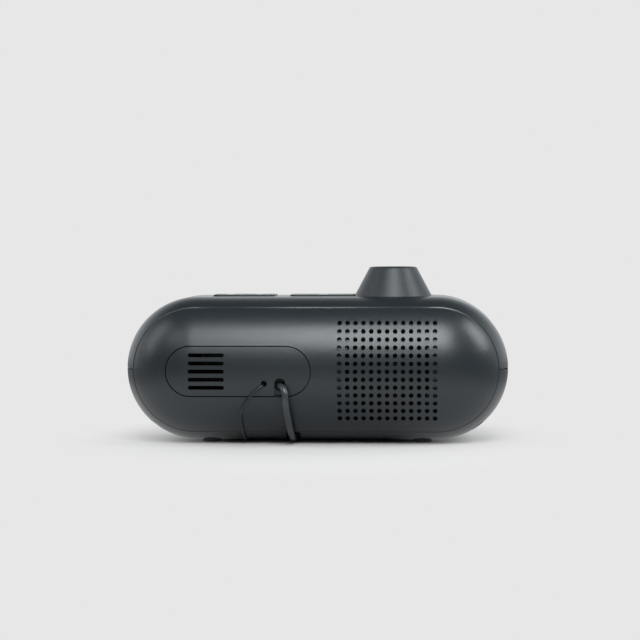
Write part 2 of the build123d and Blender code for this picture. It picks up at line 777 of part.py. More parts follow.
def segment_bar(length, turn):
    """A bar with pointed ends, such as a display segment."""
    with BuildSketch() as bar:
        with BuildLine():
            tip = length / 2
            side = SEGMENT_W / 2
            Polyline(
                (-tip, 0), (side - tip, side), (tip - side, side),
                (tip, 0), (tip - side, -side), (side - tip, -side),
                close=True,
            )
        make_face()
    return bar.sketch.rotate(Axis.Z, turn)


def digit_faces(lit):
    """The segments that are lit, or the dark ones, as one sketch."""
    with BuildSketch() as faces:
        for place, shown in zip(DIGIT_PLACES, SHOWN):
            for name, (across, rise, length, turn) in SEGMENTS.items():
                if (name in shown) == lit:
                    bar = segment_bar(length, turn)
                    with Locations((place + across, MID_Z + rise)):
                        add(bar)
        if lit:
            with Locations((0, MID_Z + COLON_RISE), (0, MID_Z - COLON_RISE)):
                Circle(COLON_R)
    return faces.sketch


with BuildPart() as digit_block:
    with BuildSketch(upright(BLOCK_BACK_Y)):
        with Locations((0, MID_Z)):
            Rectangle(WINDOW_W, WINDOW_H)
    extrude(amount=DIGIT_BLOCK_T)
    with BuildSketch(upright(BLOCK_FRONT_Y + SEGMENT_DEPTH)):
        add(digit_faces(True))
        add(digit_faces(False))
    extrude(amount=SEGMENT_DEPTH, mode=Mode.SUBTRACT)
finish(digit_block.part, "digit_block")

with BuildPart() as lit_segments:
    with BuildSketch(upright(BLOCK_FRONT_Y + SEGMENT_DEPTH)):
        add(digit_faces(True))
    extrude(amount=SEGMENT_DEPTH)
finish(lit_segments.part, "lit_segments")

with BuildPart() as dark_segments:
    with BuildSketch(upright(BLOCK_FRONT_Y + SEGMENT_DEPTH)):
        add(digit_faces(False))
    extrude(amount=SEGMENT_DEPTH)
finish(dark_segments.part, "dark_segments")

with BuildPart() as display_board:
    with BuildSketch(upright(DISPLAY_BOARD_Y)):
        with Locations((0, MID_Z)):
            RectangleRounded(
                WINDOW_W + 2 * DISPLAY_BOARD_END,
                2 * (DISPLAY_SCREW_RISE + DISPLAY_BOARD_EDGE),
                BOARD_T,
            )
        with Locations(*DISPLAY_SCREWS):
            Circle(SCREW_R + SCREW_PASS, mode=Mode.SUBTRACT)
    extrude(amount=BOARD_T)
finish(display_board.part, "display_board")

# ---------------------------------------------------------------- keys and snooze bar
KEY_L = (PAD_L - 2 * KEY_BORDER - KEY_RIB) / 2 - SLIDE
KEY_D = (PAD_D - 2 * KEY_BORDER - KEY_RIB) / 2 - SLIDE
KEY_OUT_X = (KEY_L + SLIDE + KEY_RIB) / 2
KEY_OUT_Y = (KEY_D + SLIDE + KEY_RIB) / 2
KEYS = {
    "alarm_key": (KEY_PAD_X - KEY_OUT_X, PAD_Y - KEY_OUT_Y),
    "time_key": (KEY_PAD_X + KEY_OUT_X, PAD_Y - KEY_OUT_Y),
    "plus_key": (KEY_PAD_X - KEY_OUT_X, PAD_Y + KEY_OUT_Y),
    "minus_key": (KEY_PAD_X + KEY_OUT_X, PAD_Y + KEY_OUT_Y),
}
ROOF_Z = TOP_Z - WALL  # underside of the roof
FRAME_LIP_Z = ROOF_Z - FIT - LIP_T
KEY_LIP_Z = FRAME_LIP_Z - SLIDE - LIP_T
SNOOZE_LIP_Z = ROOF_Z - SLIDE - LIP_T
SWITCH_TOP_Z = KEY_BOARD_Z + SWITCH_H + PLUNGER_H
SWITCHES = list(KEYS.values()) + [
    (SNOOZE_X + side * SNOOZE_STEM_X, PAD_Y) for side in (1, -1)
]

with BuildPart() as key_frame:
    with BuildSketch(level(FRAME_LIP_Z)):
        with Locations((KEY_PAD_X, PAD_Y)):
            RectangleRounded(PAD_L + 2 * LIP_OUT + SLIDE, PAD_D + 2 * LIP_OUT + SLIDE, PAD_CORNER)
    extrude(amount=LIP_T)
    with BuildSketch(level(FRAME_LIP_Z)):
        with Locations((KEY_PAD_X, PAD_Y)):
            RectangleRounded(PAD_L, PAD_D, PAD_CORNER)
    extrude(amount=TOP_Z + FRAME_RISE - FRAME_LIP_Z)
    fillet(key_frame.faces().sort_by(Axis.Z)[-1].edges(), PAD_EDGE)
    with BuildSketch(level(FRAME_LIP_Z)):
        with Locations(*KEYS.values()):
            RectangleRounded(KEY_L + 2 * SLIDE, KEY_D + 2 * SLIDE, PAD_CORNER / 2)
    extrude(amount=KEY_BOARD_DROP, mode=Mode.SUBTRACT)
finish(key_frame.part, "key_frame")

for key_name, (key_x, key_y) in KEYS.items():
    with BuildPart() as key:
        with BuildSketch(level(KEY_LIP_Z)):
            with Locations((key_x, key_y)):
                RectangleRounded(KEY_L, KEY_D, PAD_CORNER / 2 - SLIDE)
        extrude(amount=TOP_Z + PAD_RISE - KEY_LIP_Z)
        fillet(key.faces().sort_by(Axis.Z)[-1].edges(), PAD_EDGE)
        with BuildSketch(level(KEY_LIP_Z)):
            with Locations((key_x, key_y)):
                Rectangle(KEY_L + 2 * KEY_LIP_OUT, KEY_D + 2 * KEY_LIP_OUT)
        extrude(amount=LIP_T)
        with BuildSketch(level(KEY_LIP_Z)):
            with Locations((key_x, key_y)):
                Circle(STEM_R)
        extrude(amount=SWITCH_TOP_Z + KEY_TRAVEL + SLIDE - KEY_LIP_Z)
    finish(key.part, key_name)

with BuildPart() as snooze_bar:
    with BuildSketch(level(SNOOZE_LIP_Z)):
        add(snooze_outline(0))
    extrude(amount=TOP_Z + PAD_RISE - SNOOZE_LIP_Z)
    fillet(snooze_bar.faces().sort_by(Axis.Z)[-1].edges(), PAD_EDGE)
    with BuildSketch(level(SNOOZE_LIP_Z)):
        add(snooze_outline(LIP_OUT))
    extrude(amount=LIP_T)
    with BuildSketch(level(SNOOZE_LIP_Z)):
        with Locations((SNOOZE_X + SNOOZE_STEM_X, PAD_Y), (SNOOZE_X - SNOOZE_STEM_X, PAD_Y)):
            Circle(STEM_R)
    extrude(amount=SWITCH_TOP_Z + SNOOZE_TRAVEL + SLIDE - SNOOZE_LIP_Z)
finish(snooze_bar.part, "snooze_bar")

with BuildPart() as key_board:
    with BuildSketch(level(KEY_BOARD_Z)):
        with Locations(((KEY_BOARD_X0 + KEY_BOARD_X1) / 2, PAD_Y)):
            Rectangle(KEY_BOARD_X1 - KEY_BOARD_X0, PAD_D + 4 * BOSS_R)
        with Locations(*KEY_BOARD_HOLES):
            Circle(SCREW_R + SCREW_PASS, mode=Mode.SUBTRACT)
    extrude(amount=-BOARD_T)
finish(key_board.part, "key_board")

with BuildPart() as key_switches:
    with BuildSketch(level(KEY_BOARD_Z)):
        with Locations(*SWITCHES):
            Rectangle(SWITCH_W, SWITCH_W)
    extrude(amount=SWITCH_H)
    with BuildSketch(level(KEY_BOARD_Z + SWITCH_H)):
        with Locations(*SWITCHES):
            Circle(PLUNGER_R)
    extrude(amount=PLUNGER_H)
finish(key_switches.part, "key_switches")

# ---------------------------------------------------------------- projector
CONE_AXIS = Axis((CONE_X, CONE_Y, 0), (0, 0, 1))
CONE_PLANE = Plane((CONE_X, CONE_Y, 0), x_dir=(1, 0, 0), z_dir=(0, -1, 0))
CONE_TOP_Z = TOP_Z + CONE_H
WELL_Z = TOP_Z - WELL_DEPTH
CONE_FOOT_Z = WELL_Z + WASHER_T + RUN
SPIGOT_Z = ROOF_Z - SLIDE
SPIGOT_BORE = SPIGOT_R - SPIGOT_WALL
MOUTH_Z = CONE_TOP_Z - MOUTH_DEPTH
CONE_SLOPE = (CONE_R - CONE_TOP_R) / CONE_H
CONE_FLOOR_Z = TOP_Z + WELL_DEPTH
SCREW_CIRCLE = SPIGOT_R - SPIGOT_WALL / 2


def cone_wall(z):
    """Inner radius of the projector housing at height z."""
    return CONE_R - CONE_SLOPE * (z - TOP_Z) - CONE_WALL


with BuildPart() as projector_cone:
    with BuildSketch(CONE_PLANE):
        with BuildLine():
            Polyline(
                (SPIGOT_R, CONE_FOOT_Z),
                (CONE_R, CONE_FOOT_Z),
                (CONE_R, TOP_Z),
                (CONE_TOP_R, CONE_TOP_Z),
                (MOUTH_R, CONE_TOP_Z),
                (MOUTH_R, MOUTH_Z),
                (cone_wall(MOUTH_Z), MOUTH_Z),
                (cone_wall(CONE_FLOOR_Z), CONE_FLOOR_Z),
                (SPIGOT_BORE, CONE_FLOOR_Z),
                (SPIGOT_BORE, SPIGOT_Z),
                (SPIGOT_R, SPIGOT_Z),
                close=True,
            )
        make_face()
    revolve(axis=CONE_AXIS)
    rims = projector_cone.edges().filter_by(GeomType.CIRCLE).group_by(Axis.Z)[-1]
    fillet(rims.sort_by(SortBy.RADIUS)[-1], CONE_RIM)
    chamfer(
        projector_cone.edges().filter_by(GeomType.CIRCLE).group_by(Axis.Z)[-1].sort_by(
            SortBy.RADIUS
        )[0],
        CONE_RIM / 3,
    )
    with BuildSketch(level(SPIGOT_Z)):
        with Locations((CONE_X, CONE_Y)):
            with PolarLocations(SCREW_CIRCLE, 3):
                Circle(SMALL_SCREW_R + SCREW_FIT)
    extrude(amount=SMALL_SCREW_L - TUBE_FLANGE_T, mode=Mode.SUBTRACT)
finish(projector_cone.part, "projector_cone")

with BuildPart() as friction_washer:
    with BuildSketch(level(WELL_Z)):
        with Locations((CONE_X, CONE_Y)):
            Circle(CONE_R - SLIDE)
            Circle(CONE_R - SLIDE - WASHER_W, mode=Mode.SUBTRACT)
    extrude(amount=WASHER_T)
finish(friction_washer.part, "friction_washer")

RING_TOP_Z = CONE_TOP_Z - RING_SUNK
RING_R = MOUTH_R - SLIDE
RING_BORE = RING_R - RING_WALL
TUBE_TOP_Z = MOUTH_Z - SLIDE - RING_FLANGE_T - RUN
TUBE_FOOT_Z = SPIGOT_Z - TUBE_BELOW
CELL_R = RING_BORE - SLIDE
CELL_BORE = CELL_R - CELL_WALL
CELL_TOP_Z = RING_TOP_Z - CELL_SUNK - FOCUS_TRAVEL

with BuildPart() as projector_tube:
    with BuildSketch(level(TUBE_FOOT_Z)):
        with Locations((CONE_X, CONE_Y)):
            Circle(TUBE_R + TUBE_WALL)
    extrude(amount=TUBE_TOP_Z - TUBE_FOOT_Z)
    with BuildSketch(level(SPIGOT_Z)):
        with Locations((CONE_X, CONE_Y)):
            Circle(TUBE_FLANGE_R)
            with PolarLocations(SCREW_CIRCLE, 3):
                Circle(SMALL_SCREW_R + SCREW_FIT, mode=Mode.SUBTRACT)
    extrude(amount=-TUBE_FLANGE_T)
    with BuildSketch(level(TUBE_FOOT_Z)):
        with Locations((CONE_X, CONE_Y)):
            Circle(TUBE_R)
    extrude(amount=TUBE_TOP_Z - TUBE_FOOT_Z, mode=Mode.SUBTRACT)
finish(projector_tube.part, "projector_tube")

with BuildPart() as projector_screws:
    with BuildSketch(level(SPIGOT_Z - TUBE_FLANGE_T)):
        with Locations((CONE_X, CONE_Y)):
            with PolarLocations(SCREW_CIRCLE, 3):
                Circle(SMALL_HEAD_R)
    extrude(amount=-SMALL_HEAD_T)
    with BuildSketch(level(SPIGOT_Z - TUBE_FLANGE_T)):
        with Locations((CONE_X, CONE_Y)):
            with PolarLocations(SCREW_CIRCLE, 3):
                Circle(SMALL_SCREW_R)
    extrude(amount=SMALL_SCREW_L - FIT)
finish(projector_screws.part, "projector_screws")

with BuildPart() as focus_ring:
    with BuildSketch(level(MOUTH_Z - SLIDE - RING_FLANGE_T)):
        with Locations((CONE_X, CONE_Y)):
            Circle(RING_R + RING_FLANGE)
    extrude(amount=RING_FLANGE_T)
    with BuildSketch(level(MOUTH_Z - SLIDE)):
        with Locations((CONE_X, CONE_Y)):
            Circle(RING_R)
            with PolarLocations(RING_R, RING_NOTCHES):
                Circle(NOTCH_R, mode=Mode.SUBTRACT)
    extrude(amount=RING_TOP_Z - MOUTH_Z + SLIDE)
    with BuildSketch(level(MOUTH_Z - SLIDE - RING_FLANGE_T)):
        with Locations((CONE_X, CONE_Y)):
            Circle(RING_BORE)
    extrude(amount=RING_TOP_Z, mode=Mode.SUBTRACT)
finish(focus_ring.part, "focus_ring")

with BuildPart() as lens_cell:
    with BuildSketch(level(CELL_TOP_Z - CELL_L)):
        with Locations((CONE_X, CONE_Y)):
            Circle(CELL_R)
            Circle(CELL_BORE - CELL_WALL, mode=Mode.SUBTRACT)
    extrude(amount=CELL_L)
    with BuildSketch(level(CELL_TOP_Z - CELL_L + CELL_WALL)):
        with Locations((CONE_X, CONE_Y)):
            Circle(CELL_BORE)
    extrude(amount=CELL_L, mode=Mode.SUBTRACT)
finish(lens_cell.part, "lens_cell")


def glass_disc(radius, foot_z, edge, bulge):
    """A round lens: flat below, domed above."""
    dome_r = (radius**2 + bulge**2) / (2 * bulge)
    with BuildPart() as disc:
        with BuildSketch(CONE_PLANE):
            with BuildLine():
                Line((0, foot_z), (radius, foot_z))
                Line((radius, foot_z), (radius, foot_z + edge))
                RadiusArc((radius, foot_z + edge), (0, foot_z + edge + bulge), -dome_r)
                Line((0, foot_z + edge + bulge), (0, foot_z))
            make_face()
        revolve(axis=CONE_AXIS)
    return disc.part


LENS_FOOT_Z = CELL_TOP_Z - CELL_L + CELL_WALL
projection_lens = glass_disc(CELL_BORE - RUN, LENS_FOOT_Z, 3 * LENS_EDGE, LENS_BULGE)
finish(projection_lens, "projection_lens")
CONDENSER_Z = TUBE_FOOT_Z + CONDENSER_RISE
condenser_lens = glass_disc(TUBE_R - RUN, CONDENSER_Z, LENS_EDGE, 2 * LENS_BULGE)
finish(condenser_lens, "condenser_lens")

LCD_Z = TUBE_FOOT_Z + LCD_RISE
with BuildPart() as lcd_frame:
    with BuildSketch(level(LCD_Z)):
        with Locations((CONE_X, CONE_Y)):
            Circle(TUBE_R - RUN)
            Rectangle(LCD_W - LCD_T, LCD_W - LCD_T, mode=Mode.SUBTRACT)
    extrude(amount=LCD_FRAME_T)
    with BuildSketch(level(LCD_Z + LCD_FRAME_T - LCD_T)):
        with Locations((CONE_X, CONE_Y)):
            Rectangle(LCD_W, LCD_W)
    extrude(amount=LCD_T, mode=Mode.SUBTRACT)
finish(lcd_frame.part, "lcd_frame")

with BuildPart() as time_lcd:
    with BuildSketch(level(LCD_Z + LCD_FRAME_T - LCD_T)):
        with Locations((CONE_X, CONE_Y)):
            Rectangle(LCD_W - 2 * RUN, LCD_W - 2 * RUN)
    extrude(amount=LCD_T)
finish(time_lcd.part, "time_lcd")

with BuildPart() as led_board:
    with BuildSketch(level(TUBE_FOOT_Z)):
        with Locations((CONE_X, CONE_Y)):
            Circle(TUBE_R - RUN)
    extrude(amount=BOARD_T)
finish(led_board.part, "led_board")

with BuildPart() as projector_led:
    with BuildSketch(level(TUBE_FOOT_Z + BOARD_T)):
        with Locations((CONE_X, CONE_Y)):
            Circle(LED_R)
    extrude(amount=LED_H)
    fillet(projector_led.edges().group_by(Axis.Z)[-1], LED_R * 0.9)
finish(projector_led.part, "projector_led")

# ---------------------------------------------------------------- speaker
SPEAKER_AXIS = Axis((GRID_X, 0, MID_Z), (0, 1, 0))
SPEAKER_PLANE = Plane((GRID_X, 0, MID_Z), x_dir=(0, 1, 0), z_dir=(1, 0, 0))
STEEL_Y = SPEAKER_Y - FLANGE_STEEL
BASKET_Y = SPEAKER_Y - BASKET_DEPTH
EARS = [
    (GRID_X + sx * SPEAKER_SCREW, MID_Z + sz * SPEAKER_SCREW)
    for sx in (1, -1)
    for sz in (1, -1)
]

with BuildPart() as speaker_baffle:
    with BuildSketch(upright(BACK_Y)):
        with Locations((GRID_X, MID_Z)):
            Rectangle(BAFFLE_W, BAFFLE_W)
            Circle(BAFFLE_R, mode=Mode.SUBTRACT)
    extrude(amount=BACK_Y - SPEAKER_Y)
    add(pebble(WALL + RUN), mode=Mode.INTERSECT)
    with BuildSketch(upright(SPEAKER_Y)):
        with Locations(*EARS):
            Circle(SMALL_SCREW_R + SCREW_FIT)
    extrude(amount=FLANGE_STEEL - SPEAKER_SCREW_L, mode=Mode.SUBTRACT)
finish(speaker_baffle.part, "speaker_baffle")

with BuildPart() as speaker_frame:
    with BuildSketch(upright(SPEAKER_Y)):
        with Locations((GRID_X, MID_Z)):
            RectangleRounded(SPEAKER_W, SPEAKER_W, 2 * BASKET_T)
        with Locations(*EARS):
            Circle(SMALL_SCREW_R + SCREW_PASS, mode=Mode.SUBTRACT)
        with Locations((GRID_X, MID_Z)):
            Circle(BASKET_R - BASKET_T, mode=Mode.SUBTRACT)
    extrude(amount=FLANGE_STEEL)
    with BuildSketch(SPEAKER_PLANE):
        with BuildLine():
            Polyline(
                (STEEL_Y, BASKET_R),
                (BASKET_Y, BASKET_BACK_R),
                (BASKET_Y, COIL_GAP_OUT),
                (BASKET_Y + BASKET_T, COIL_GAP_OUT),
                (BASKET_Y + BASKET_T, BASKET_BACK_R - BASKET_T),
                (STEEL_Y, BASKET_R - BASKET_T),
                close=True,
            )
        make_face()
    revolve(axis=SPEAKER_AXIS)
    # openings in the basket
    with BuildSketch(upright(STEEL_Y - BASKET_T)):
        with Locations((GRID_X, MID_Z)):
            Rectangle(3 * BASKET_R, BASKET_WINDOW_W)
            Rectangle(BASKET_WINDOW_W, 3 * BASKET_R)
            Circle(BASKET_BACK_R, mode=Mode.SUBTRACT)
    extrude(amount=BASKET_DEPTH / 2, mode=Mode.SUBTRACT)
finish(speaker_frame.part, "speaker_frame")

with BuildPart() as speaker_magnet:
    with BuildSketch(upright(BASKET_Y)):
        with Locations((GRID_X, MID_Z)):
            Circle(MAGNET_R)
    extrude(amount=MAGNET_T)
    with BuildSketch(upright(BASKET_Y)):
        with Locations((GRID_X, MID_Z)):
            Circle(COIL_GAP_OUT)
            Circle(COIL_GAP_IN, mode=Mode.SUBTRACT)
    extrude(amount=COIL_GAP_DEPTH, mode=Mode.SUBTRACT)
finish(speaker_magnet.part, "speaker_magnet")

CONE_NECK_Y = SPEAKER_Y - PAPER_DEPTH - FLANGE_STEEL
with BuildPart() as voice_coil:
    with BuildSketch(upright(CONE_NECK_Y)):
        with Locations((GRID_X, MID_Z)):
            Circle(VOICE_COIL_R)
            Circle(VOICE_COIL_R - VOICE_COIL_T, mode=Mode.SUBTRACT)
    extrude(amount=CONE_NECK_Y - BASKET_Y + COIL_GAP_DEPTH / 2)
finish(voice_coil.part, "voice_coil")

with BuildPart() as speaker_paper:
    with BuildSketch(SPEAKER_PLANE):
        with BuildLine():
            Polyline(
                (CONE_NECK_Y, VOICE_COIL_R),
                (SPEAKER_Y - PAPER_T, PAPER_R + PAPER_T),
                (SPEAKER_Y, PAPER_R + PAPER_T),
                (CONE_NECK_Y + 2 * PAPER_T, VOICE_COIL_R - VOICE_COIL_T),
                (CONE_NECK_Y, VOICE_COIL_R - VOICE_COIL_T),
                close=True,
            )
        make_face()
    revolve(axis=SPEAKER_AXIS)
finish(speaker_paper.part, "speaker_paper")

ROLL_R = (SURROUND_R - PAPER_R) / 2
with BuildPart() as speaker_surround:
    with BuildSketch(SPEAKER_PLANE):
        with Locations((SPEAKER_Y, PAPER_R + ROLL_R)):
            Circle(ROLL_R)
            Circle(ROLL_R - PAPER_T, mode=Mode.SUBTRACT)
            Rectangle(
                2 * ROLL_R, 2 * ROLL_R, align=(Align.MAX, Align.CENTER), mode=Mode.SUBTRACT
            )
    revolve(axis=SPEAKER_AXIS)
finish(speaker_surround.part, "speaker_surround")

CAP_Y = CONE_NECK_Y + 2 * PAPER_T + RUN
CAP_R = VOICE_COIL_R - VOICE_COIL_T
with BuildPart() as dust_cap:
    with BuildSketch(SPEAKER_PLANE):
        with BuildLine():
            dome_r = (CAP_R**2 + CAP_RISE**2) / (2 * CAP_RISE)
            Line((CAP_Y, 0), (CAP_Y, CAP_R))
            RadiusArc((CAP_Y, CAP_R), (CAP_Y + CAP_RISE, 0), dome_r)
            Line((CAP_Y + CAP_RISE, 0), (CAP_Y, 0))
        make_face()
    revolve(axis=SPEAKER_AXIS)
finish(dust_cap.part, "dust_cap")

with BuildPart() as speaker_screws:
    with BuildSketch(upright(STEEL_Y)):
        with Locations(*EARS):
            Circle(SMALL_HEAD_R)
    extrude(amount=SMALL_HEAD_T)
    with BuildSketch(upright(STEEL_Y)):
        with Locations(*EARS):
            Circle(SMALL_SCREW_R)
    extrude(amount=-(SPEAKER_SCREW_L - FIT))
finish(speaker_screws.part, "speaker_screws")

# ---------------------------------------------------------------- main board
BOARD_X = (BOARD_X0 + BOARD_X1) / 2
BOARD_Y = (BOARD_Y0 + BOARD_Y1) / 2
BOARD_TOP_Z = BOARD_Z + BOARD_T

with BuildPart() as main_board:
    with BuildSketch(level(BOARD_Z)):
        with Locations((BOARD_X, BOARD_Y)):
            Rectangle(BOARD_X1 - BOARD_X0, BOARD_Y1 - BOARD_Y0)
        with Locations(*BOARD_HOLES):
            Circle(SCREW_R + SCREW_PASS, mode=Mode.SUBTRACT)
    extrude(amount=BOARD_T)
finish(main_board.part, "main_board")

with BuildPart() as board_screws:
    # face under the heads, places, and the way the heads stand out from it
    for face, places, outward in (
        (level(BOARD_TOP_Z), BOARD_HOLES, 1),
        (level(KEY_BOARD_Z - BOARD_T), KEY_BOARD_HOLES, -1),
        (upright(DISPLAY_BOARD_Y), DISPLAY_SCREWS, -1),
    ):
        with BuildSketch(face):
            with Locations(*places):
                Circle(SCREW_HEAD_R)
        extrude(amount=outward * SCREW_HEAD_T)
        with BuildSketch(face):
            with Locations(*places):
                Circle(SCREW_R)
        extrude(amount=-outward * (BOARD_T + BOARD_SCREW_L - FIT))
finish(board_screws.part, "board_screws")

with BuildPart() as board_chips:
    with BuildSketch(level(BOARD_TOP_Z)):
        with Locations((BOARD_X - CHIP_W, BOARD_Y - CHIP_W / 2)):
            Rectangle(CHIP_W, CHIP_W)
        with Locations((BOARD_X - 2 * CHIP_W, BOARD_Y - CHIP_W / 2)):
            Rectangle(CHIP_W / 2, CHIP_W)
    extrude(amount=CHIP_T)
finish(board_chips.part, "board_chips")

with BuildPart() as tuner_can:
    with BuildSketch(level(BOARD_TOP_Z)):
        with Locations((BOARD_X - CHIP_W, BOARD_Y1 - CAN_W / 2 - BOARD_T)):
            RectangleRounded(CAN_L, CAN_W, BOARD_T / 2)
    extrude(amount=CAN_H)
finish(tuner_can.part, "tuner_can")

with BuildPart() as capacitors:
    with BuildSketch(level(BOARD_TOP_Z)):
        with Locations((BOARD_X + CHIP_W, BOARD_Y - CHIP_W)):
            with GridLocations(2.5 * CAPACITOR_R, 0, 3, 1):
                Circle(CAPACITOR_R)
    extrude(amount=CAPACITOR_H)
    fillet(capacitors.edges().group_by(Axis.Z)[-1], BOARD_T / 4)
finish(capacitors.part, "capacitors")

with BuildPart() as heat_sink:
    with BuildSketch(level(BOARD_TOP_Z)):
        with Locations((SLOT_X, BOARD_Y1 - SINK_D)):
            Rectangle(SINK_W, SINK_BASE, align=(Align.CENTER, Align.MIN))
            with GridLocations((SINK_W - FIN_T) / (SINK_FINS - 1), 0, SINK_FINS, 1):
                Rectangle(FIN_T, SINK_D, align=(Align.CENTER, Align.MIN))
    extrude(amount=SINK_H)
finish(heat_sink.part, "heat_sink")

# ---------------------------------------------------------------- battery back-up
with BuildPart() as coin_cell:
    with BuildSketch(level(FOOT_H + DOOR_T + FIT)):
        with Locations((CELL_X, CELL_Y)):
            Circle(COIN_R)
    extrude(amount=COIN_T)
    fillet(coin_cell.edges().group_by(Axis.Z)[0], COIN_GAP)
finish(coin_cell.part, "coin_cell")

with BuildPart() as cell_contact:
    with BuildSketch(level(CUP_ROOF)):
        with Locations((CELL_X, CELL_Y)):
            Circle(COIN_R - COIN_GAP)
            Circle(COIN_R / 2, mode=Mode.SUBTRACT)
    extrude(amount=FIT - 3 * CONTACT_T)
finish(cell_contact.part, "cell_contact")

with BuildPart() as battery_door:
    with BuildSketch(level(FOOT_H)):
        with Locations((CELL_X, CELL_Y)):
            Rectangle(DOOR_W, DOOR_D)
        with Locations(DOOR_SCREW):
            Circle(SMALL_SCREW_R + SCREW_PASS, mode=Mode.SUBTRACT)
    extrude(amount=DOOR_T)
finish(battery_door.part, "battery_door")

with BuildPart() as door_screw:
    with BuildSketch(level(FOOT_H)):
        with Locations(DOOR_SCREW):
            Circle(SMALL_HEAD_R)
    extrude(amount=-SMALL_HEAD_T / 2)
    with BuildSketch(level(FOOT_H)):
        with Locations(DOOR_SCREW):
            Circle(SMALL_SCREW_R)
    extrude(amount=DOOR_T + DOOR_SCREW_L - FIT)
finish(door_screw.part, "door_screw")

# ---------------------------------------------------------------- cords


def bend_radii(points):
    """Radius of each arc of a cord: as large as the two runs beside it allow."""
    spots = [Vector(*point) for point in points]
    radii = []
    for before, here, after in zip(spots, spots[1:], spots[2:]):
        run_in = here - before
        run_out = after - here
        shorter = min(run_in.length, run_out.length)
        half_turn = math.radians(run_in.get_angle(run_out)) / 2
        radii.append(0.45 * shorter / math.tan(half_turn))
    return radii


def cord_tube(points, radius, name):
    """The stretch of a cord that isn't coiled, as a tube of runs and arcs."""
    radii = bend_radii(points)
    with BuildPart() as tube:
        with BuildLine() as path:
            FilletPolyline(*points, radius=radii)
        course = path.wire()
        with BuildSketch(Plane(course @ 0, z_dir=course % 0)):
            Circle(radius)
        sweep(path=course)
    length = course.length
    section = math.pi * radius**2
    print(f"{name}: length {length:.1f}, radii {[round(r, 1) for r in radii]}")
    print(f"{name}: volume {tube.part.volume:.1f}, section times length {section * length:.1f}")
    return tube.part


finish(cord_tube(LEAD_POINTS, LEAD_R, "power_lead"), "power_lead")
finish(cord_tube(WIRE_POINTS, WIRE_R, "antenna_wire"), "antenna_wire")

CLAMP_X = (CORD_HOLE_X + ANTENNA_HOLE_X) / 2
CLAMP_Y = LEAD_POINTS[0][1] + CLAMP_GRIP
with BuildPart() as cord_clamp:
    with BuildSketch(upright(BACK_Y)):
        with Locations((CLAMP_X, HOLE_Z)):
            Rectangle(CLAMP_W, CLAMP_H)
    extrude(amount=BACK_Y - CLAMP_Y + CLAMP_T)
    add(pebble(PANEL_BACK + FIT), mode=Mode.INTERSECT)
    # each cord ends in a bore of its own
    for points, radius in ((LEAD_POINTS, LEAD_R), (WIRE_POINTS, WIRE_R)):
        start = Vector(*points[0])
        with BuildSketch(Plane(start, z_dir=Vector(*points[1]) - start)):
            Circle(radius)
        extrude(amount=2 * CLAMP_T, mode=Mode.SUBTRACT)
finish(cord_clamp.part, "cord_clamp")


def wound_ring(x, y, foot_z, mean_r, width, height):
    """The closed outer form of a cord that is wound up in a ring."""
    with BuildPart() as ring:
        with BuildSketch(Plane((x, y, 0), x_dir=(1, 0, 0), z_dir=(0, -1, 0))):
            with Locations((mean_r, foot_z + height / 2)):
                RectangleRounded(width, height, width / 3)
        revolve(axis=Axis((x, y, 0), (0, 0, 1)))
    return ring.part


# both coils lie in front of the display side
LEAD_COIL_OUT = LEAD_COIL_R + LEAD_COIL_W / 2
LEAD_COIL_Y = FRONT_Y - COIL_SPACE - LEAD_COIL_OUT
WIRE_COIL_Y = FRONT_Y - COIL_SPACE - WIRE_COIL_R - WIRE_COIL_W / 2
lead_coil = wound_ring(
    LEAD_COIL_X, LEAD_COIL_Y, TIE_T, LEAD_COIL_R, LEAD_COIL_W, LEAD_COIL_H
)
finish(lead_coil, "lead_coil")
antenna_coil = wound_ring(
    WIRE_COIL_X, WIRE_COIL_Y, 0, WIRE_COIL_R, WIRE_COIL_W, WIRE_COIL_H
)
finish(antenna_coil, "antenna_coil")

with BuildPart() as lead_tie:
    # band round the winding
    with BuildSketch(upright(LEAD_COIL_Y + TIE_W / 2)):
        with Locations((LEAD_COIL_X - LEAD_COIL_R, TIE_T + LEAD_COIL_H / 2)):
            RectangleRounded(
                LEAD_COIL_W + 2 * TIE_T, LEAD_COIL_H + 2 * TIE_T, LEAD_COIL_W / 3 + TIE_T
            )
            RectangleRounded(LEAD_COIL_W, LEAD_COIL_H, LEAD_COIL_W / 3, mode=Mode.SUBTRACT)
    extrude(amount=TIE_W)
finish(lead_tie.part, "lead_tie")

# the last turn runs straight on into the plug
PLUG_Y = LEAD_COIL_Y - LEAD_COIL_R
PLUG_Z = PLUG_H / 2
RELIEF_X = LEAD_COIL_X - math.sqrt(LEAD_COIL_OUT**2 - LEAD_COIL_R**2)
with BuildPart() as power_plug:
    with BuildSketch(Plane.YZ.offset(RELIEF_X - RELIEF_L)):
        with Locations((PLUG_Y, PLUG_Z)):
            RectangleRounded(PLUG_W, PLUG_H, PLUG_H / 4)
    extrude(amount=-PLUG_L)
    with BuildSketch(Plane.YZ.offset(RELIEF_X)):
        with Locations((PLUG_Y, PLUG_Z)):
            Circle(LEAD_R + FIT)
    with BuildSketch(Plane.YZ.offset(RELIEF_X - RELIEF_L)):
        with Locations((PLUG_Y, PLUG_Z)):
            Circle(RELIEF_R)
    loft()
finish(power_plug.part, "power_plug")

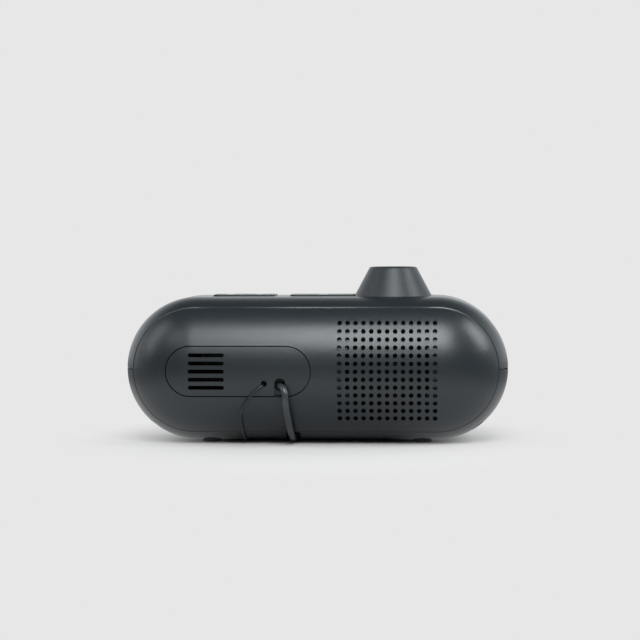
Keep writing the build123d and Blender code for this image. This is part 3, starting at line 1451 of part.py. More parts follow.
with BuildPart() as plug_shell:
    with BuildSketch(Plane.YZ.offset(RELIEF_X - RELIEF_L - PLUG_L)):
        with Locations((PLUG_Y, PLUG_Z)):
            Rectangle(PLUG_SHELL_W, PLUG_SHELL_H)
    extrude(amount=-PLUG_SHELL_L)
    with BuildSketch(Plane.YZ.offset(RELIEF_X - RELIEF_L - PLUG_L - PLUG_SHELL_L)):
        with Locations((PLUG_Y, PLUG_Z + FIT)):
            Rectangle(PLUG_SHELL_W - 2 * SLIDE, PLUG_SHELL_H / 2, align=(Align.CENTER, Align.MIN))
    extrude(amount=PLUG_SHELL_L - BOARD_T, mode=Mode.SUBTRACT)
finish(plug_shell.part, "plug_shell")
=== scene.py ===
"""Dresses the projection alarm clock: finishes, cords, screws, signs, floor, lights, camera."""

import json
import math

import bmesh
import bpy
from mathutils import Matrix, Vector


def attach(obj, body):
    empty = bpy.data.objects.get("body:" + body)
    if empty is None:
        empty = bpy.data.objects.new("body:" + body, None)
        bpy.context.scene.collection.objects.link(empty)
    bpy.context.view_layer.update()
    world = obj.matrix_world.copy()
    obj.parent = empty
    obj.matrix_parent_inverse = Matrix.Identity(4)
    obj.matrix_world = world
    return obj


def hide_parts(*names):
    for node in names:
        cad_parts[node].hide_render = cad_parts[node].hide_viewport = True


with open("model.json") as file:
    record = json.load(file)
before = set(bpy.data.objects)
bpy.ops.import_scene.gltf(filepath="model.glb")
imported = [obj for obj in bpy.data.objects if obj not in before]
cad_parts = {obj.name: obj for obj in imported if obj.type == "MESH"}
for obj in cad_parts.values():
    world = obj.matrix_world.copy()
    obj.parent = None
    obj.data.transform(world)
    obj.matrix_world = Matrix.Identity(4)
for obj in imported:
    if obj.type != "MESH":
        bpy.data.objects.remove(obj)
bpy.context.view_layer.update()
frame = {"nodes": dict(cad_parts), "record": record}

bl_info = {
    "name": "Projection Alarm Clock",
    "version": (1, 0, 0),
    "blender": (4, 5, 0),
    "location": "View3D > Sidebar > Clock",
    "description": "Finishes, cords and stage of a projection alarm clock",
    "category": "Object",
}

MM = 0.001


def mm(*values):
    """Millimetres to metres."""
    return tuple(v * MM for v in values)


# ---------------------------------------------------------------- places, in millimetres
TOP_Z = 74.2
CONE_X, CONE_Y = -38.8, -11.0
RING_TOP_Z = 88.5
# undersides of the screws' heads
CASE_SCREWS = [(sx * 82.0, y, 31.2) for sx in (1, -1) for y in (-12.0, 8.0)]
DOOR_SCREW = (-23.8, -21.3, 1.2)
# the print's foot is sunk a little into the keys
SIGN_Z = (TOP_Z + 0.75, TOP_Z + 0.86)
# sign, place across and in depth, size, body it rides on
SIGNS = (
    ("bell", 30.3, -15.7, 1.0, "alarm_key_body"),
    ("clock", 45.7, -15.7, 1.0, "time_key_body"),
    ("plus", 30.3, -6.3, 1.0, "plus_key_body"),
    ("minus", 45.7, -6.3, 1.0, "minus_key_body"),
    ("moon", -1.8, -11.0, 1.5, "snooze_bar_body"),
)

# the routes of the two cords, from the clamp to their coils
LEAD_ROUTE = [
    (17.6, 28.0, 30.5), (17.1, 31.7, 30.3), (15.2, 35.2, 29.9), (13.9, 37.0, 27.4),
    (13.85, 36.9, 22.8), (13.2, 35.3, 17.4), (12.45, 31.8, 12.0), (11.95, 26.6, 7.5),
    (11.65, 20.6, 4.4), (11.5, 14.0, 2.5), (11.6, 5.0, 1.8), (11.3, -8.0, 1.78),
    (10.9, -22.0, 1.78), (10.0, -34.5, 1.78), (8.7, -44.0, 1.9),
]
WIRE_ROUTE = [
    (24.6, 28.0, 31.5), (24.7, 33.1, 31.4), (26.8, 34.9, 29.7), (31.5, 34.4, 25.4),
    (35.0, 32.7, 20.6), (36.5, 31.0, 17.0), (36.9, 29.2, 14.2), (36.7, 26.6, 11.2),
    (36.3, 23.0, 7.6), (36.1, 18.0, 3.6), (36.0, 11.5, 1.2), (36.1, 2.0, 0.55),
    (36.3, -10.0, 0.52), (36.0, -23.0, 0.52), (35.2, -34.0, 0.6),
]
LEAD_COIL = (-12.8, -63.5)
LEAD_TAIL = [(-20.0, -83.5, 2.8), (-26.0, -83.5, 3.8), (-33.0, -83.5, 4.0)]
WIRE_COIL = (28.0, -46.5)
# how the lead's turns lie on each other: column from the outside, row from below
LEAD_LAYERS = [
    (0, 0), (0, 1), (0, 2), (0, 3), (1, 3), (2, 3),
    (2, 2), (1, 2), (1, 1), (2, 1), (2, 0), (1, 0),
]

# ---------------------------------------------------------------- stage, in metres and watts
PALE = (0.799, 0.799, 0.799)
FLOOR_REACH = 6
# name, watts, wide, deep, place, aimed at
LAMPS = (
    ("key_box", 6.8, 0.40, 0.43, (-0.08, 0.53, 0.56), (0.0, 0.0, 0.04)),
    ("right_strip", 3.5, 0.22, 0.44, (-0.64, 0.10, 0.50), (-0.06, 0.0, 0.04)),
    ("left_strip", 1.1, 0.20, 0.46, (0.62, 0.12, 0.42), (0.06, 0.0, 0.04)),
    ("fill_box", 0.7, 0.30, 0.30, (0.42, 0.48, 0.54), (0.0, 0.0, 0.06)),
)
CAMERA_PLACE = mm(-58.6, 952.3, 102.1)
# to the side, downwards and about the line of sight, in radians
YAW, PITCH, ROLL = 0.060, 0.042, -0.003


# ---------------------------------------------------------------- node helpers
class Wire:
    """A node's socket that takes part in ordinary sums."""

    def __init__(self, tree, socket):
        self.tree = tree
        self.socket = socket

    def _maths(self, operation, first, second):
        return self.tree.add(
            "ShaderNodeMath", {"operation": operation}, {0: first, 1: second}
        )

    def __add__(self, other):
        return self._maths("ADD", self, other)

    def __radd__(self, other):
        return self._maths("ADD", other, self)

    def __sub__(self, other):
        return self._maths("SUBTRACT", self, other)

    def __rsub__(self, other):
        return self._maths("SUBTRACT", other, self)

    def __mul__(self, other):
        return self._maths("MULTIPLY", self, other)

    def __rmul__(self, other):
        return self._maths("MULTIPLY", other, self)

    def __truediv__(self, other):
        return self._maths("DIVIDE", self, other)

    def smooth(self, low, high):
        """0 at low, 1 at high, and smooth between them."""
        return self.tree.add(
            "ShaderNodeMapRange",
            {"interpolation_type": "SMOOTHSTEP"},
            {0: self, 1: low, 2: high},
        )


class Nodes:
    """A material's or world's node tree, built with one method."""

    def __init__(self, owner):
        owner.use_nodes = True
        self.owner = owner
        self.tree = owner.node_tree
        self.tree.nodes.clear()

    def add(self, kind, settings=None, inputs=None, output=0):
        """One node: its settings, then the values or links of its sockets."""
        node = self.tree.nodes.new(kind)
        for name, value in (settings or {}).items():
            setattr(node, name, value)
        for name, value in (inputs or {}).items():
            if isinstance(value, Wire):
                self.tree.links.new(value.socket, node.inputs[name])
            else:
                node.inputs[name].default_value = value
        return Wire(self, node.outputs[output])

    def place(self):
        return self.add("ShaderNodeTexCoord", output=3)

    def parts(self, vector):
        """The three numbers of a vector."""
        split = self.tree.nodes.new("ShaderNodeSeparateXYZ")
        self.tree.links.new(vector.socket, split.inputs[0])
        return [Wire(self, s) for s in split.outputs]

    def noise(self, scale, detail=3.0, rough=0.5, vector=None):
        return self.add(
            "ShaderNodeTexNoise",
            {},
            {
                "Vector": vector or self.place(),
                "Scale": scale,
                "Detail": detail,
                "Roughness": rough,
            },
        )

    def grain(self, scale):
        """Small round cells, such as the pores of rubber."""
        return self.add(
            "ShaderNodeTexVoronoi",
            {"feature": "SMOOTH_F1"},
            {"Vector": self.place(), "Scale": scale},
        )

    def blend(self, factor, first, second):
        mix = self.tree.nodes.new("ShaderNodeMix")
        mix.data_type = "RGBA"
        for name, value in ((0, factor), (6, first), (7, second)):
            if isinstance(value, Wire):
                self.tree.links.new(value.socket, mix.inputs[name])
            elif name == 0:
                mix.inputs[name].default_value = value
            else:
                mix.inputs[name].default_value = (*value, 1)
        return Wire(self, mix.outputs[2])

    def bump(self, height, strength, distance):
        return self.add(
            "ShaderNodeBump",
            {},
            {"Height": height, "Strength": strength, "Distance": distance},
        )

    def surface(self, shader):
        """Ends the tree in a shader."""
        kind = "World" if isinstance(self.owner, bpy.types.World) else "Material"
        out = self.tree.nodes.new("ShaderNodeOutput" + kind)
        self.tree.links.new(shader.socket, out.inputs[0])


def new_material(name):
    material = bpy.data.materials.new(name)
    return material, Nodes(material)


def plastic(name, colour, rough, grain=1600, depth=0.35):
    """Moulded plastic: fine grain, a little unevenness in colour and gloss."""
    material, n = new_material(name)
    broad = n.noise(22, 4, 0.55)
    fine = n.noise(grain, 2, 0.6)
    dark = tuple(c * 0.9 for c in colour)
    light = tuple(c * 1.1 for c in colour)
    shader = n.add(
        "ShaderNodeBsdfPrincipled",
        {},
        {
            "Base Color": n.blend(broad, dark, light),
            "Roughness": rough + (broad - 0.5) * 0.06 + (fine - 0.5) * 0.10,
            "IOR": 1.47,
            "Specular Tint": (0.92, 0.97, 1.0, 1),
            "Normal": n.bump(fine, depth, 0.00008),
        },
    )
    n.surface(shader)
    return material


def metal(name, colour, rough, stretch=(1, 1, 1)):
    """Drawn or turned metal with fine lines along one way."""
    material, n = new_material(name)
    lined = n.add("ShaderNodeMapping", {}, {"Vector": n.place(), "Scale": stretch})
    lines = n.noise(900, 3, 0.6, lined)
    cloud = n.noise(60, 3)
    shader = n.add(
        "ShaderNodeBsdfPrincipled",
        {},
        {
            "Base Color": n.blend(cloud, tuple(c * 0.88 for c in colour), colour),
            "Metallic": 1.0,
            "Roughness": rough + (lines - 0.5) * 0.18,
            "Normal": n.bump(lines, 0.25, 0.00006),
        },
    )
    n.surface(shader)
    return material


def rubber(name, colour, rough=0.62):
    material, n = new_material(name)
    pores = n.grain(2600)
    dust = n.noise(70, 4)
    shader = n.add(
        "ShaderNodeBsdfPrincipled",
        {},
        {
            "Base Color": n.blend(dust, colour, tuple(c * 1.35 + 0.004 for c in colour)),
            "Roughness": rough + (dust - 0.5) * 0.12,
            "IOR": 1.5,
            "Normal": n.bump(pores, 0.2, 0.00008),
        },
    )
    n.surface(shader)
    return material


def circuit(name):
    """Solder mask with paler traces."""
    material, n = new_material(name)
    cells = n.add(
        "ShaderNodeTexBrick",
        {"offset": 0.37},
        {"Vector": n.place(), "Scale": 260.0, "Mortar Size": 0.03},
        1,
    )
    cloud = n.noise(120, 3)
    shader = n.add(
        "ShaderNodeBsdfPrincipled",
        {},
        {
            "Base Color": n.blend(cells, (0.006, 0.06, 0.025), (0.02, 0.16, 0.07)),
            "Roughness": 0.34 + (cloud - 0.5) * 0.12,
            "Normal": n.bump(cells, 0.3, 0.00004),
        },
    )
    n.surface(shader)
    return material


def lens_glass(name):
    material, n = new_material(name)
    smear = n.noise(140, 3)
    shader = n.add(
        "ShaderNodeBsdfPrincipled",
        {},
        {
            "Base Color": (0.80, 0.88, 0.92, 1),
            "Roughness": 0.02 + (smear - 0.45) * 0.05,
            "IOR": 1.5,
            "Alpha": 0.38,
        },
    )
    n.surface(shader)
    return material


def smoked_window(name):
    """Dark see-through front that hides all but the lit digits."""
    material, n = new_material(name)
    smear = n.noise(30, 3)
    shader = n.add(
        "ShaderNodeBsdfPrincipled",
        {},
        {
            "Base Color": (0.006, 0.006, 0.007, 1),
            "Roughness": 0.07 + (smear - 0.5) * 0.05,
            "IOR": 1.49,
            "Alpha": 0.72,
        },
    )
    n.surface(shader)
    return material


def lit_plastic(name, colour, strength):
    """Milky plastic with a light behind it, a little cloudy."""
    material, n = new_material(name)
    cloud = n.noise(300, 2)
    shader = n.add(
        "ShaderNodeBsdfPrincipled",
        {},
        {
            "Base Color": (*colour, 1),
            "Roughness": 0.35 + (cloud - 0.5) * 0.1,
            "Emission Color": n.blend(cloud, tuple(c * 0.8 for c in colour), colour),
            "Emission Strength": strength,
        },
    )
    n.surface(shader)
    return material


def pressed_fibre(name, colour):
    """Pressed paper or felt: tangled fibres."""
    material, n = new_material(name)
    fibres = n.noise(1300, 5, 0.75)
    shader = n.add(
        "ShaderNodeBsdfPrincipled",
        {},
        {
            "Base Color": n.blend(fibres, colour, tuple(c * 1.7 + 0.006 for c in colour)),
            "Roughness": 0.82 + (fibres - 0.5) * 0.15,
            "Normal": n.bump(fibres, 0.6, 0.0002),
        },
    )
    n.surface(shader)
    return material


def wound_copper(name, wire=0.0003):
    """Enamelled wire, laid turn by turn along the coil's axis."""
    material, n = new_material(name)
    _, along, _ = n.parts(n.place())
    turns = n.add("ShaderNodeMath", {"operation": "SINE"}, {0: along * (2 * math.pi / wire)})
    shader = n.add(
        "ShaderNodeBsdfPrincipled",
        {},
        {
            # painted shade and painted highlight: the colour goes darker between the turns and
            # lighter on their crowns
            "Base Color": n.blend(turns * 0.5 + 0.5, (0.30, 0.11, 0.04), (0.62, 0.28, 0.12)),
            "Metallic": 1.0,
            "Roughness": 0.32 + turns * 0.05,
            "Normal": n.bump(turns, 0.5, 0.00008),
        },
    )
    n.surface(shader)
    return material


def make_finishes(settings):
    """Every finish of the clock, by the record's slot."""
    shell = tuple(settings.shell_colour)
    rough = settings.shell_roughness
    return {
        "case": plastic("case_plastic", shell, rough),
        "panel": plastic("panel_plastic", shell, rough + 0.02),
        "projector": plastic("projector_plastic", shell, rough + 0.09),
        "keys": plastic("key_plastic", tuple(c * 1.1 for c in shell), rough + 0.06, 2200),
        "inner_plastic": plastic("inner_plastic", (0.010, 0.010, 0.011), 0.6, 1200, 0.5),
        "window": smoked_window("smoked_window"),
        "rubber": rubber("foot_rubber", (0.012, 0.012, 0.012)),
        "cord": rubber("cord_sheath", (0.014, 0.018, 0.021), 0.36),
        "steel": metal("plated_steel", (0.52, 0.52, 0.53), 0.33, (1, 6, 1)),
        "board": circuit("circuit_board"),
        "chips": plastic("chip_epoxy", (0.012, 0.012, 0.013), 0.55, 2400, 0.6),
        "anodised": metal("black_anodised", (0.030, 0.030, 0.032), 0.42, (1, 1, 0.08)),
        "black_steel": plastic("black_enamel", (0.010, 0.010, 0.011), 0.38, 900, 0.25),
        "glass": lens_glass("lens_glass"),
        "lcd": plastic("lcd_glass", (0.02, 0.03, 0.025), 0.12, 300, 0.05),
        "led": lit_plastic("led_resin", (0.85, 0.08, 0.05), 0.4),
        "segment_lit": lit_plastic("segment_lit", (0.95, 0.10, 0.05), 3.0),
        "segment_dark": plastic("segment_dark", (0.03, 0.008, 0.008), 0.4),
        "paper": pressed_fibre("speaker_paper", (0.014, 0.014, 0.014)),
        "copper": wound_copper("coil_copper"),
        "felt": pressed_fibre("washer_felt", (0.02, 0.02, 0.02)),
    }


# ---------------------------------------------------------------- mesh helpers
def link(obj):
    bpy.context.scene.collection.objects.link(obj)
    return obj


def coiled(centre, start_deg, end_deg, whole_turns, columns, rows, layers, per_turn):
    """Control points of a wound cord, going round clockwise seen from above."""
    sweep = (start_deg - end_deg) % 360 + 360 * whole_turns
    steps = round(sweep / 360 * per_turn)
    points = []
    for i in range(steps + 1):
        share = i / steps
        angle = math.radians(start_deg - sweep * share)
        at = share * (len(layers) - 1)
        low = min(int(at), len(layers) - 2)
        part = min(max((at - low - 0.55) / 0.45, 0), 1)
        part = part * part * (3 - 2 * part)
        (c0, r0), (c1, r1) = layers[low], layers[low + 1]
        radius = columns[c0] + (columns[c1] - columns[c0]) * part
        height = rows[r0] + (rows[r1] - rows[r0]) * part
        points.append(
            (
                centre[0] + radius * math.cos(angle),
                centre[1] + radius * math.sin(angle),
                height,
            )
        )
    return points


def cord_curve(name, points, radius, sides):
    """A smooth cord with the given control points, in millimetres."""
    curve = bpy.data.curves.new(name, "CURVE")
    curve.dimensions = "3D"
    curve.bevel_depth = radius * MM
    curve.bevel_resolution = sides
    curve.use_fill_caps = True
    curve.resolution_u = 3
    spline = curve.splines.new("NURBS")
    spline.points.add(len(points) - 1)
    for spot, point in zip(spline.points, points):
        spot.co = (*mm(*point), 1)
    spline.order_u = 3
    spline.use_endpoint_u = True
    return link(bpy.data.objects.new(name, curve))


def serpentine(columns, rows):
    """Layers of a coil, row by row inwards and outwards again."""
    layers = []
    for r in range(rows):
        across = range(columns) if r % 2 == 0 else reversed(range(columns))
        layers += [(c, r) for c in across]
    return layers


# ---------------------------------------------------------------- geometry nodes
class Shapes(Nodes):
    """A Geometry Nodes tree with named sizes, which starts from points."""

    def __init__(self, name, sizes):
        self.tree = bpy.data.node_groups.new(name, "GeometryNodeTree")
        face = self.tree.interface
        face.new_socket("Points", in_out="INPUT", socket_type="NodeSocketGeometry")
        for key, value in sizes.items():
            kind = {int: "Int", float: "Float", tuple: "Vector"}[type(value)]
            socket = face.new_socket(key, in_out="INPUT", socket_type="NodeSocket" + kind)
            socket.default_value = value
        face.new_socket("Mesh", in_out="OUTPUT", socket_type="NodeSocketGeometry")
        self.group_input = self.tree.nodes.new("NodeGroupInput")

    def given(self, name):
        return Wire(self, self.group_input.outputs[name])

    def rod(self, radius, length, centre, sides=28):
        """An upright rod with its middle at a height."""
        rod = self.add(
            "GeometryNodeMeshCylinder", {},
            {"Vertices": sides, "Radius": radius, "Depth": length},
        )
        return self.moved(rod, self.vector(0.0, 0.0, centre))

    def vector(self, x, y, z):
        return self.add("ShaderNodeCombineXYZ", {}, {0: x, 1: y, 2: z})

    def moved(self, shape, by, turn=(0, 0, 0)):
        return self.add(
            "GeometryNodeTransform", {},
            {"Geometry": shape, "Translation": by, "Rotation": turn},
        )

    def joined(self, *shapes):
        node = self.tree.nodes.new("GeometryNodeJoinGeometry")
        for shape in shapes:
            self.tree.links.new(shape.socket, node.inputs[0])
        return Wire(self, node.outputs[0])

    def repeat(self, points, shape, turn, material):
        """Puts the shape on every point, and ends the tree."""
        turned = self.add("FunctionNodeEulerToRotation", {}, {0: turn})
        copies = self.add(
            "GeometryNodeInstanceOnPoints", {},
            {"Points": points, "Instance": shape, "Rotation": turned},
        )
        real = self.add("GeometryNodeRealizeInstances", {}, {0: copies})
        dressed = self.add(
            "GeometryNodeSetMaterial", {}, {"Geometry": real, "Material": material}
        )
        out = self.tree.nodes.new("NodeGroupOutput")
        self.tree.links.new(dressed.socket, out.inputs[0])


def screw_tree(material):
    """A pan-head screw with a cross recess; its head's underside is the origin."""
    n = Shapes(
        "screws",
        {"Head radius": 0.0027, "Head height": 0.0018, "Shank radius": 0.0014,
         "Shank length": 0.012, "Turn": (0.0, 0.0, 0.0)},
    )
    head_r, head_h = n.given("Head radius"), n.given("Head height")
    body = n.rod(head_r, head_h * 0.55, head_h * 0.275)
    crown = n.add(
        "GeometryNodeMeshCone", {},
        {"Vertices": 28, "Radius Top": head_r * 0.72, "Radius Bottom": head_r,
         "Depth": head_h * 0.45},
    )
    crown = n.moved(crown, n.vector(0.0, 0.0, head_h * 0.55))
    slit_size = n.vector(head_r * 0.22, head_r * 1.15, head_h)
    slit = n.add("GeometryNodeMeshCube", {}, {"Size": slit_size})
    cross = n.joined(
        n.moved(slit, n.vector(0.0, 0.0, head_h)),
        n.moved(slit, n.vector(0.0, 0.0, head_h), (0, 0, math.pi / 2)),
    )
    cut = n.tree.nodes.new("GeometryNodeMeshBoolean")
    cut.operation = "DIFFERENCE"
    n.tree.links.new(n.joined(body, crown).socket, cut.inputs["Mesh 1"])
    n.tree.links.new(cross.socket, cut.inputs["Mesh 2"])
    length = n.given("Shank length")
    shank = n.rod(n.given("Shank radius"), length, length * -0.5, 20)
    shape = n.joined(Wire(n, cut.outputs[0]), shank)
    n.repeat(n.given("Points"), shape, n.given("Turn"), material)
    return n.tree


def ridge_tree(material):
    """Ridges that stand like rays on a ring."""
    n = Shapes(
        "ridges",
        {"Count": 36, "Ring radius": 0.0087, "Ridge length": 0.0015, "Ridge radius": 0.00022},
    )
    count = n.given("Count")
    ring = n.add(
        "GeometryNodeMeshCircle", {}, {"Vertices": count, "Radius": n.given("Ring radius")}
    )
    centre = n.add("GeometryNodeSampleIndex", {"data_type": "FLOAT_VECTOR"}, {
        "Geometry": n.given("Points"),
        "Value": n.add("GeometryNodeInputPosition"),
    })
    ring = n.moved(ring, centre)
    rod = n.rod(n.given("Ridge radius"), n.given("Ridge length"), 0.0, 10)
    lying = n.moved(rod, (0, 0, 0), (0, math.pi / 2, 0))
    angle = n.add("GeometryNodeInputIndex") / count * (2 * math.pi)
    n.repeat(ring, lying, n.vector(0.0, 0.0, angle), material)
    return n.tree


def grown(name, tree, points, **sizes):
    """Runs a tree on points in millimetres and keeps the result as a plain mesh."""
    seed = bpy.data.meshes.new(name + "_points")
    seed.from_pydata([mm(*p) for p in points], [], [])
    obj = link(bpy.data.objects.new(name, seed))
    modifier = obj.modifiers.new("shape", "NODES")
    modifier.node_group = tree
    for item in tree.interface.items_tree:
        key = item.name.lower().replace(" ", "_")
        if item.in_out == "INPUT" and key in sizes:
            modifier[item.identifier] = sizes[key]
    graph = bpy.context.evaluated_depsgraph_get()
    mesh = bpy.data.meshes.new_from_object(obj.evaluated_get(graph))
    obj.modifiers.clear()
    obj.data = mesh
    bpy.data.meshes.remove(seed)
    if not mesh.polygons:
        raise RuntimeError(name + " came out empty")
    return obj


# ---------------------------------------------------------------- printed signs
def prism(bm, outline, low, high):
    """A flat plate with the given outline, in millimetres."""
    foot = [bm.verts.new(mm(x, y, low)) for x, y in outline]
    head = [bm.verts.new(mm(x, y, high)) for x, y in outline]
    bm.faces.new(head)
    bm.faces.new(list(reversed(foot)))
    for i in range(len(outline)):
        j = (i + 1) % len(outline)
        bm.faces.new((foot[i], foot[j], head[j], head[i]))


def bar(x, y, length, width, turn=0.0):
    """Outline of a bar with round ends."""
    spots = []
    for end, start in ((1, -90), (-1, 90)):
        for step in range(7):
            a = math.radians(start + 30 * step)
            px = end * (length - width) / 2 + width / 2 * math.cos(a)
            py = width / 2 * math.sin(a)
            spots.append((px, py))
    c, s = math.cos(turn), math.sin(turn)
    return [(x + c * px - s * py, y + s * px + c * py) for px, py in spots]


def arc(x, y, radius, start, end, steps):
    """Points of an arc, in degrees."""
    return [
        (x + radius * math.cos(math.radians(start + (end - start) * i / steps)),
         y + radius * math.sin(math.radians(start + (end - start) * i / steps)))
        for i in range(steps + 1)
    ]


def sign_outlines(kind):
    """The plates that make up a sign, about its own middle."""
    if kind == "plus":
        return [bar(0, 0, 3.4, 0.6), [(-0.3, 0.3), (0.3, 0.3), (0.3, 1.7), (-0.3, 1.7)],
                [(-0.3, -1.7), (0.3, -1.7), (0.3, -0.3), (-0.3, -0.3)]]
    if kind == "minus":
        return [bar(0, 0, 3.4, 0.6)]
    if kind == "clock":
        ring = [
            arc(0, 0, 1.9, 15 * i, 15 * i + 15, 1) + arc(0, 0, 1.5, 15 * i + 15, 15 * i, 1)
            for i in range(24)
        ]
        return ring + [bar(0, 0.55, 1.3, 0.32, math.pi / 2), bar(0.5, -0.1, 1.0, 0.32)]
    if kind == "bell":
        dome = arc(0, 0.3, 1.1, 0, 180, 14)
        return [dome + [(-1.3, -0.9), (-1.8, -1.2), (1.8, -1.2), (1.3, -0.9)],
                arc(0, -1.45, 0.45, 180, 360, 8), arc(0, 1.55, 0.3, 0, 350, 12)]
    # crescent moon, in strips
    outer, inner = arc(0, 0, 2.2, 60, 300, 28), arc(0.75, 0, 1.95, 78, 282, 28)
    return [[outer[i], outer[i + 1], inner[i + 1], inner[i]] for i in range(28)]


# ---------------------------------------------------------------- settings
class ClockSettings(bpy.types.PropertyGroup):
    """Colours and sizes that a user may want to change."""

    shell_colour: bpy.props.FloatVectorProperty(
        name="Shell colour", description="Colour of the case", subtype="COLOR", size=3,
        default=(0.0090, 0.0122, 0.0148), min=0, max=1,
    )
    shell_roughness: bpy.props.FloatProperty(
        name="Shell roughness", description="How dull the case is", default=0.35,
        min=0.1, max=0.9, subtype="FACTOR",
    )
    lead_diameter: bpy.props.FloatProperty(
        name="Lead diameter", description="Thickness of the power lead", default=3.5 * MM,
        unit="LENGTH",
    )
    wire_diameter: bpy.props.FloatProperty(
        name="Antenna diameter", description="Thickness of the antenna wire",
        default=1.0 * MM, unit="LENGTH",
    )


class StageSettings(bpy.types.PropertyGroup):
    """Floor, lights and camera."""

    floor_colour: bpy.props.FloatProperty(
        name="Floor", description="Grey of the floor", default=0.42, min=0, max=1,
    )
    room: bpy.props.FloatProperty(
        name="Room", description="Light from all round", default=0.05, min=0,
    )
    soft_room: bpy.props.FloatProperty(
        name="Soft room", description="More light from all round for dull surfaces",
        default=0.45, min=0,
    )
    wall: bpy.props.FloatProperty(
        name="Wall", description="Light from the pale wall behind", default=1.35, min=0,
    )
    lens: bpy.props.FloatProperty(
        name="Lens", description="Focal length", default=104.51, subtype="DISTANCE_CAMERA",
    )


# ---------------------------------------------------------------- operators
class CLOCK_OT_finishes(bpy.types.Operator):
    """Give every CAD node its finish"""

    bl_idname = "clock.finishes"
    bl_label = "Finishes"

    def execute(self, context):
        finishes = make_finishes(context.scene.clock)
        for entry in frame["record"]["subparts"]:
            obj = frame["nodes"][entry["node"]]
            obj.data.materials.clear()
            obj.data.materials.append(finishes[entry["material_slot"]])
        return {"FINISHED"}


class CLOCK_OT_power_lead(bpy.types.Operator):
    """Power lead with its coil"""

    bl_idname = "clock.power_lead"
    bl_label = "Power lead"

    def execute(self, context):
        coil = coiled(
            LEAD_COIL, start_deg=32, end_deg=-90, whole_turns=11, columns=(23.6, 20.0, 16.4),
            rows=(2.3, 5.45, 8.6, 11.7), layers=LEAD_LAYERS, per_turn=14,
        )
        radius = context.scene.clock.lead_diameter / MM / 2
        lead = cord_curve("lead_cord", LEAD_ROUTE + coil + LEAD_TAIL, radius, 3)
        lead.data.materials.append(bpy.data.materials["cord_sheath"])
        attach(lead, "clock")
        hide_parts("power_lead", "lead_coil")
        mm(16.3, 33.6, 30.1)
        return {"FINISHED"}


class CLOCK_OT_antenna(bpy.types.Operator):
    """Antenna wire with its coil"""

    bl_idname = "clock.antenna"
    bl_label = "Antenna wire"

    def execute(self, context):
        columns, rows = (8.0, 7.0, 6.0, 5.0, 4.0), (0.55, 1.52, 2.5, 3.48, 4.45)
        coil = coiled(
            WIRE_COIL, start_deg=37, end_deg=20, whole_turns=24, columns=columns, rows=rows,
            layers=serpentine(len(columns), len(rows)), per_turn=12,
        )
        radius = context.scene.clock.wire_diameter / MM / 2
        wire = cord_curve("antenna_cord", WIRE_ROUTE + coil, radius, 2)
        wire.data.materials.append(rubber("wire_sheath", (0.002, 0.0028, 0.0034), 0.3))
        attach(wire, "clock")
        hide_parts("antenna_wire", "antenna_coil")
        mm(24.8, 33.3, 31.2)
        return {"FINISHED"}


class CLOCK_OT_screws(bpy.types.Operator):
    """Screws that can be seen from outside, with cross recesses"""

    bl_idname = "clock.screws"
    bl_label = "Screws"

    def execute(self, context):
        tree = screw_tree(bpy.data.materials["plated_steel"])
        down = (math.pi, 0.0, 0.0)
        case = grown("case_screw_set", tree, CASE_SCREWS, shank_length=0.0138, turn=down)
        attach(case, "clock")
        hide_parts("case_screws")
        door = grown(
            "door_screw_set", tree, [DOOR_SCREW], head_radius=0.0015, head_height=0.00055,
            shank_radius=0.00078, shank_length=0.0061, turn=down,
        )
        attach(door, "clock")
        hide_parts("door_screw")
        return {"FINISHED"}


class CLOCK_OT_focus_ridges(bpy.types.Operator):
    """Finger ridges on the focus ring"""

    bl_idname = "clock.focus_ridges"
    bl_label = "Focus ridges"

    def execute(self, context):
        ridges = grown(
            "focus_ridges", ridge_tree(bpy.data.materials["inner_plastic"]),
            [(CONE_X, CONE_Y, RING_TOP_Z)],
        )
        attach(ridges, "focus")
        return {"FINISHED"}


class CLOCK_OT_signs(bpy.types.Operator):
    """Signs printed on the keys and the snooze bar"""

    bl_idname = "clock.signs"
    bl_label = "Signs"

    def execute(self, context):
        ink = plastic("sign_ink", (0.55, 0.56, 0.57), 0.5, 3000, 0.2)
        for kind, x, y, size, body in SIGNS:
            bm = bmesh.new()
            for outline in sign_outlines(kind):
                spots = [(x + size * px, y + size * py) for px, py in outline]
                prism(bm, spots, *SIGN_Z)
            mesh = bpy.data.meshes.new(kind + "_sign")
            bm.to_mesh(mesh)
            bm.free()
            sign = link(bpy.data.objects.new(kind + "_sign", mesh))
            mesh.materials.append(ink)
            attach(sign, body)
        return {"FINISHED"}


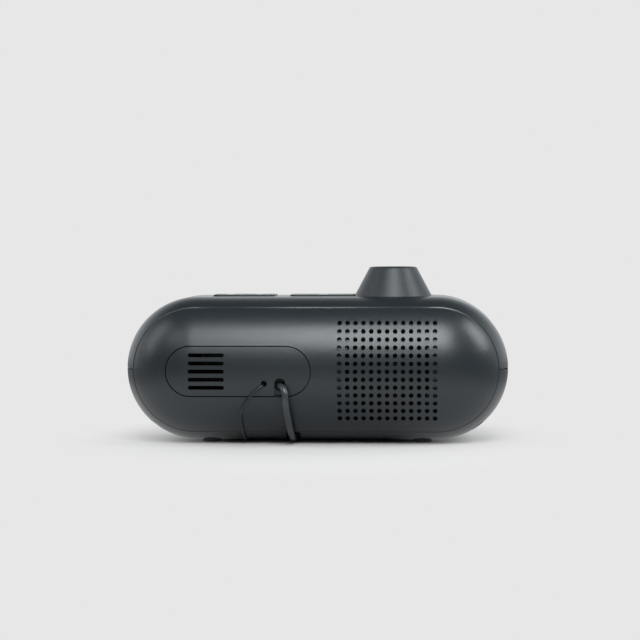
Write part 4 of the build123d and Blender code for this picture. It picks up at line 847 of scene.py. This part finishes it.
class CLOCK_OT_stage(bpy.types.Operator):
    """Floor, backdrop, lights and camera"""

    bl_idname = "clock.stage"
    bl_label = "Stage"

    def execute(self, context):
        stage = context.scene.clock_stage
        grey = stage.floor_colour

        # floor: shaded near the clock, an even grey further out
        mesh = bpy.data.meshes.new("floor")
        corners = ((-1, -1), (1, -1), (1, 1), (-1, 1))
        mesh.from_pydata(
            [(x * FLOOR_REACH, y * FLOOR_REACH, 0) for x, y in corners], [], [(0, 1, 2, 3)]
        )
        floor = link(bpy.data.objects.new("floor", mesh))
        material, n = new_material("floor_paint")
        squeezed = n.add(
            "ShaderNodeVectorMath", {"operation": "MULTIPLY"}, {0: n.place(), 1: (1.15, 1, 1)}
        )
        far = n.add("ShaderNodeVectorMath", {"operation": "LENGTH"}, {0: squeezed}, 1)
        painted = n.add(
            "ShaderNodeBsdfPrincipled", {},
            {"Base Color": (grey, grey, grey, 1), "Roughness": 0.9, "Specular IOR Level": 0.1},
        )
        # in reflections the floor is bright near the clock and dim far off
        glossy = n.add("ShaderNodeLightPath", output=3)
        even = n.add(
            "ShaderNodeEmission", {},
            {"Color": (*PALE, 1),
             "Strength": 1 + glossy * (0.6 - 1.2 * far.smooth(0.12, 0.35))},
        )
        share = far.smooth(0.05, 0.16)
        more = glossy * (far.smooth(0.04, 0.09) - share) * 0.5
        mixed = n.add("ShaderNodeMixShader", {}, {0: share + more, 1: painted, 2: even})
        n.surface(mixed)
        floor.data.materials.append(material)

        # a pale wall stands behind the clock, and the room on the other side is dim
        world = bpy.data.worlds.new("studio")
        context.scene.world = world
        n = Nodes(world)
        seen = n.add("ShaderNodeLightPath", output=0)
        mirrored = n.add("ShaderNodeLightPath", output=3)
        _, depth, rise = n.parts(n.add("ShaderNodeTexCoord", output=0))
        wall = depth.smooth(0.35, -0.45) * rise.smooth(0.80, 0.25)
        back = n.add("ShaderNodeBackground", {}, {"Color": (*PALE, 1)})
        # on dull surfaces the room is brighter than in reflections
        room = stage.room + (1 - mirrored) * stage.soft_room
        fill = n.add(
            "ShaderNodeBackground", {},
            {"Color": (0.95, 0.98, 1.0, 1), "Strength": room + wall * stage.wall},
        )
        n.surface(n.add("ShaderNodeMixShader", {}, {0: seen, 1: fill, 2: back}))

        for name, power, wide, deep, place, aim in LAMPS:
            data = bpy.data.lights.new(name, "AREA")
            data.shape = "RECTANGLE"
            data.size = wide
            data.size_y = deep
            data.energy = power
            lamp = link(bpy.data.objects.new(name, data))
            lamp.location = place
            lamp.rotation_euler = (
                (Vector(aim) - Vector(place)).to_track_quat("-Z", "Y").to_euler()
            )

        data = bpy.data.cameras.new("camera")
        data.sensor_fit = "HORIZONTAL"
        data.sensor_width = 36
        data.lens = stage.lens
        data.clip_start = 0.01
        camera = link(bpy.data.objects.new("camera", data))
        camera.location = CAMERA_PLACE
        ahead = Vector(
            (math.sin(YAW) * math.cos(PITCH), -math.cos(YAW) * math.cos(PITCH), -math.sin(PITCH))
        )
        turn = ahead.to_track_quat("-Z", "Y").to_matrix() @ Matrix.Rotation(ROLL, 3, "Z")
        camera.rotation_euler = turn.to_euler()
        context.scene.camera = camera
        context.scene.view_settings.view_transform = "Standard"
        return {"FINISHED"}


class CLOCK_PT_panel(bpy.types.Panel):
    """Lists the clock's settings and its pieces"""

    bl_label = "Projection Alarm Clock"
    bl_idname = "CLOCK_PT_panel"
    bl_space_type = "VIEW_3D"
    bl_region_type = "UI"
    bl_category = "Clock"

    def draw(self, context):
        for group in (context.scene.clock, context.scene.clock_stage):
            for name in group.__annotations__:
                self.layout.prop(group, name)
        for operator in OPERATORS:
            self.layout.operator(operator.bl_idname)


OPERATORS = (
    CLOCK_OT_finishes,
    CLOCK_OT_power_lead,
    CLOCK_OT_antenna,
    CLOCK_OT_screws,
    CLOCK_OT_focus_ridges,
    CLOCK_OT_signs,
    CLOCK_OT_stage,
)
CLASSES = (ClockSettings, StageSettings, *OPERATORS, CLOCK_PT_panel)


def register():
    for cls in CLASSES:
        bpy.utils.register_class(cls)
    bpy.types.Scene.clock = bpy.props.PointerProperty(type=ClockSettings)
    bpy.types.Scene.clock_stage = bpy.props.PointerProperty(type=StageSettings)


def unregister():
    del bpy.types.Scene.clock_stage
    del bpy.types.Scene.clock
    for cls in reversed(CLASSES):
        bpy.utils.unregister_class(cls)


def main():
    register()
    for operator in OPERATORS:
        group, name = operator.bl_idname.split(".")
        getattr(getattr(bpy.ops, group), name)()


if __name__ == "__main__":
    main()
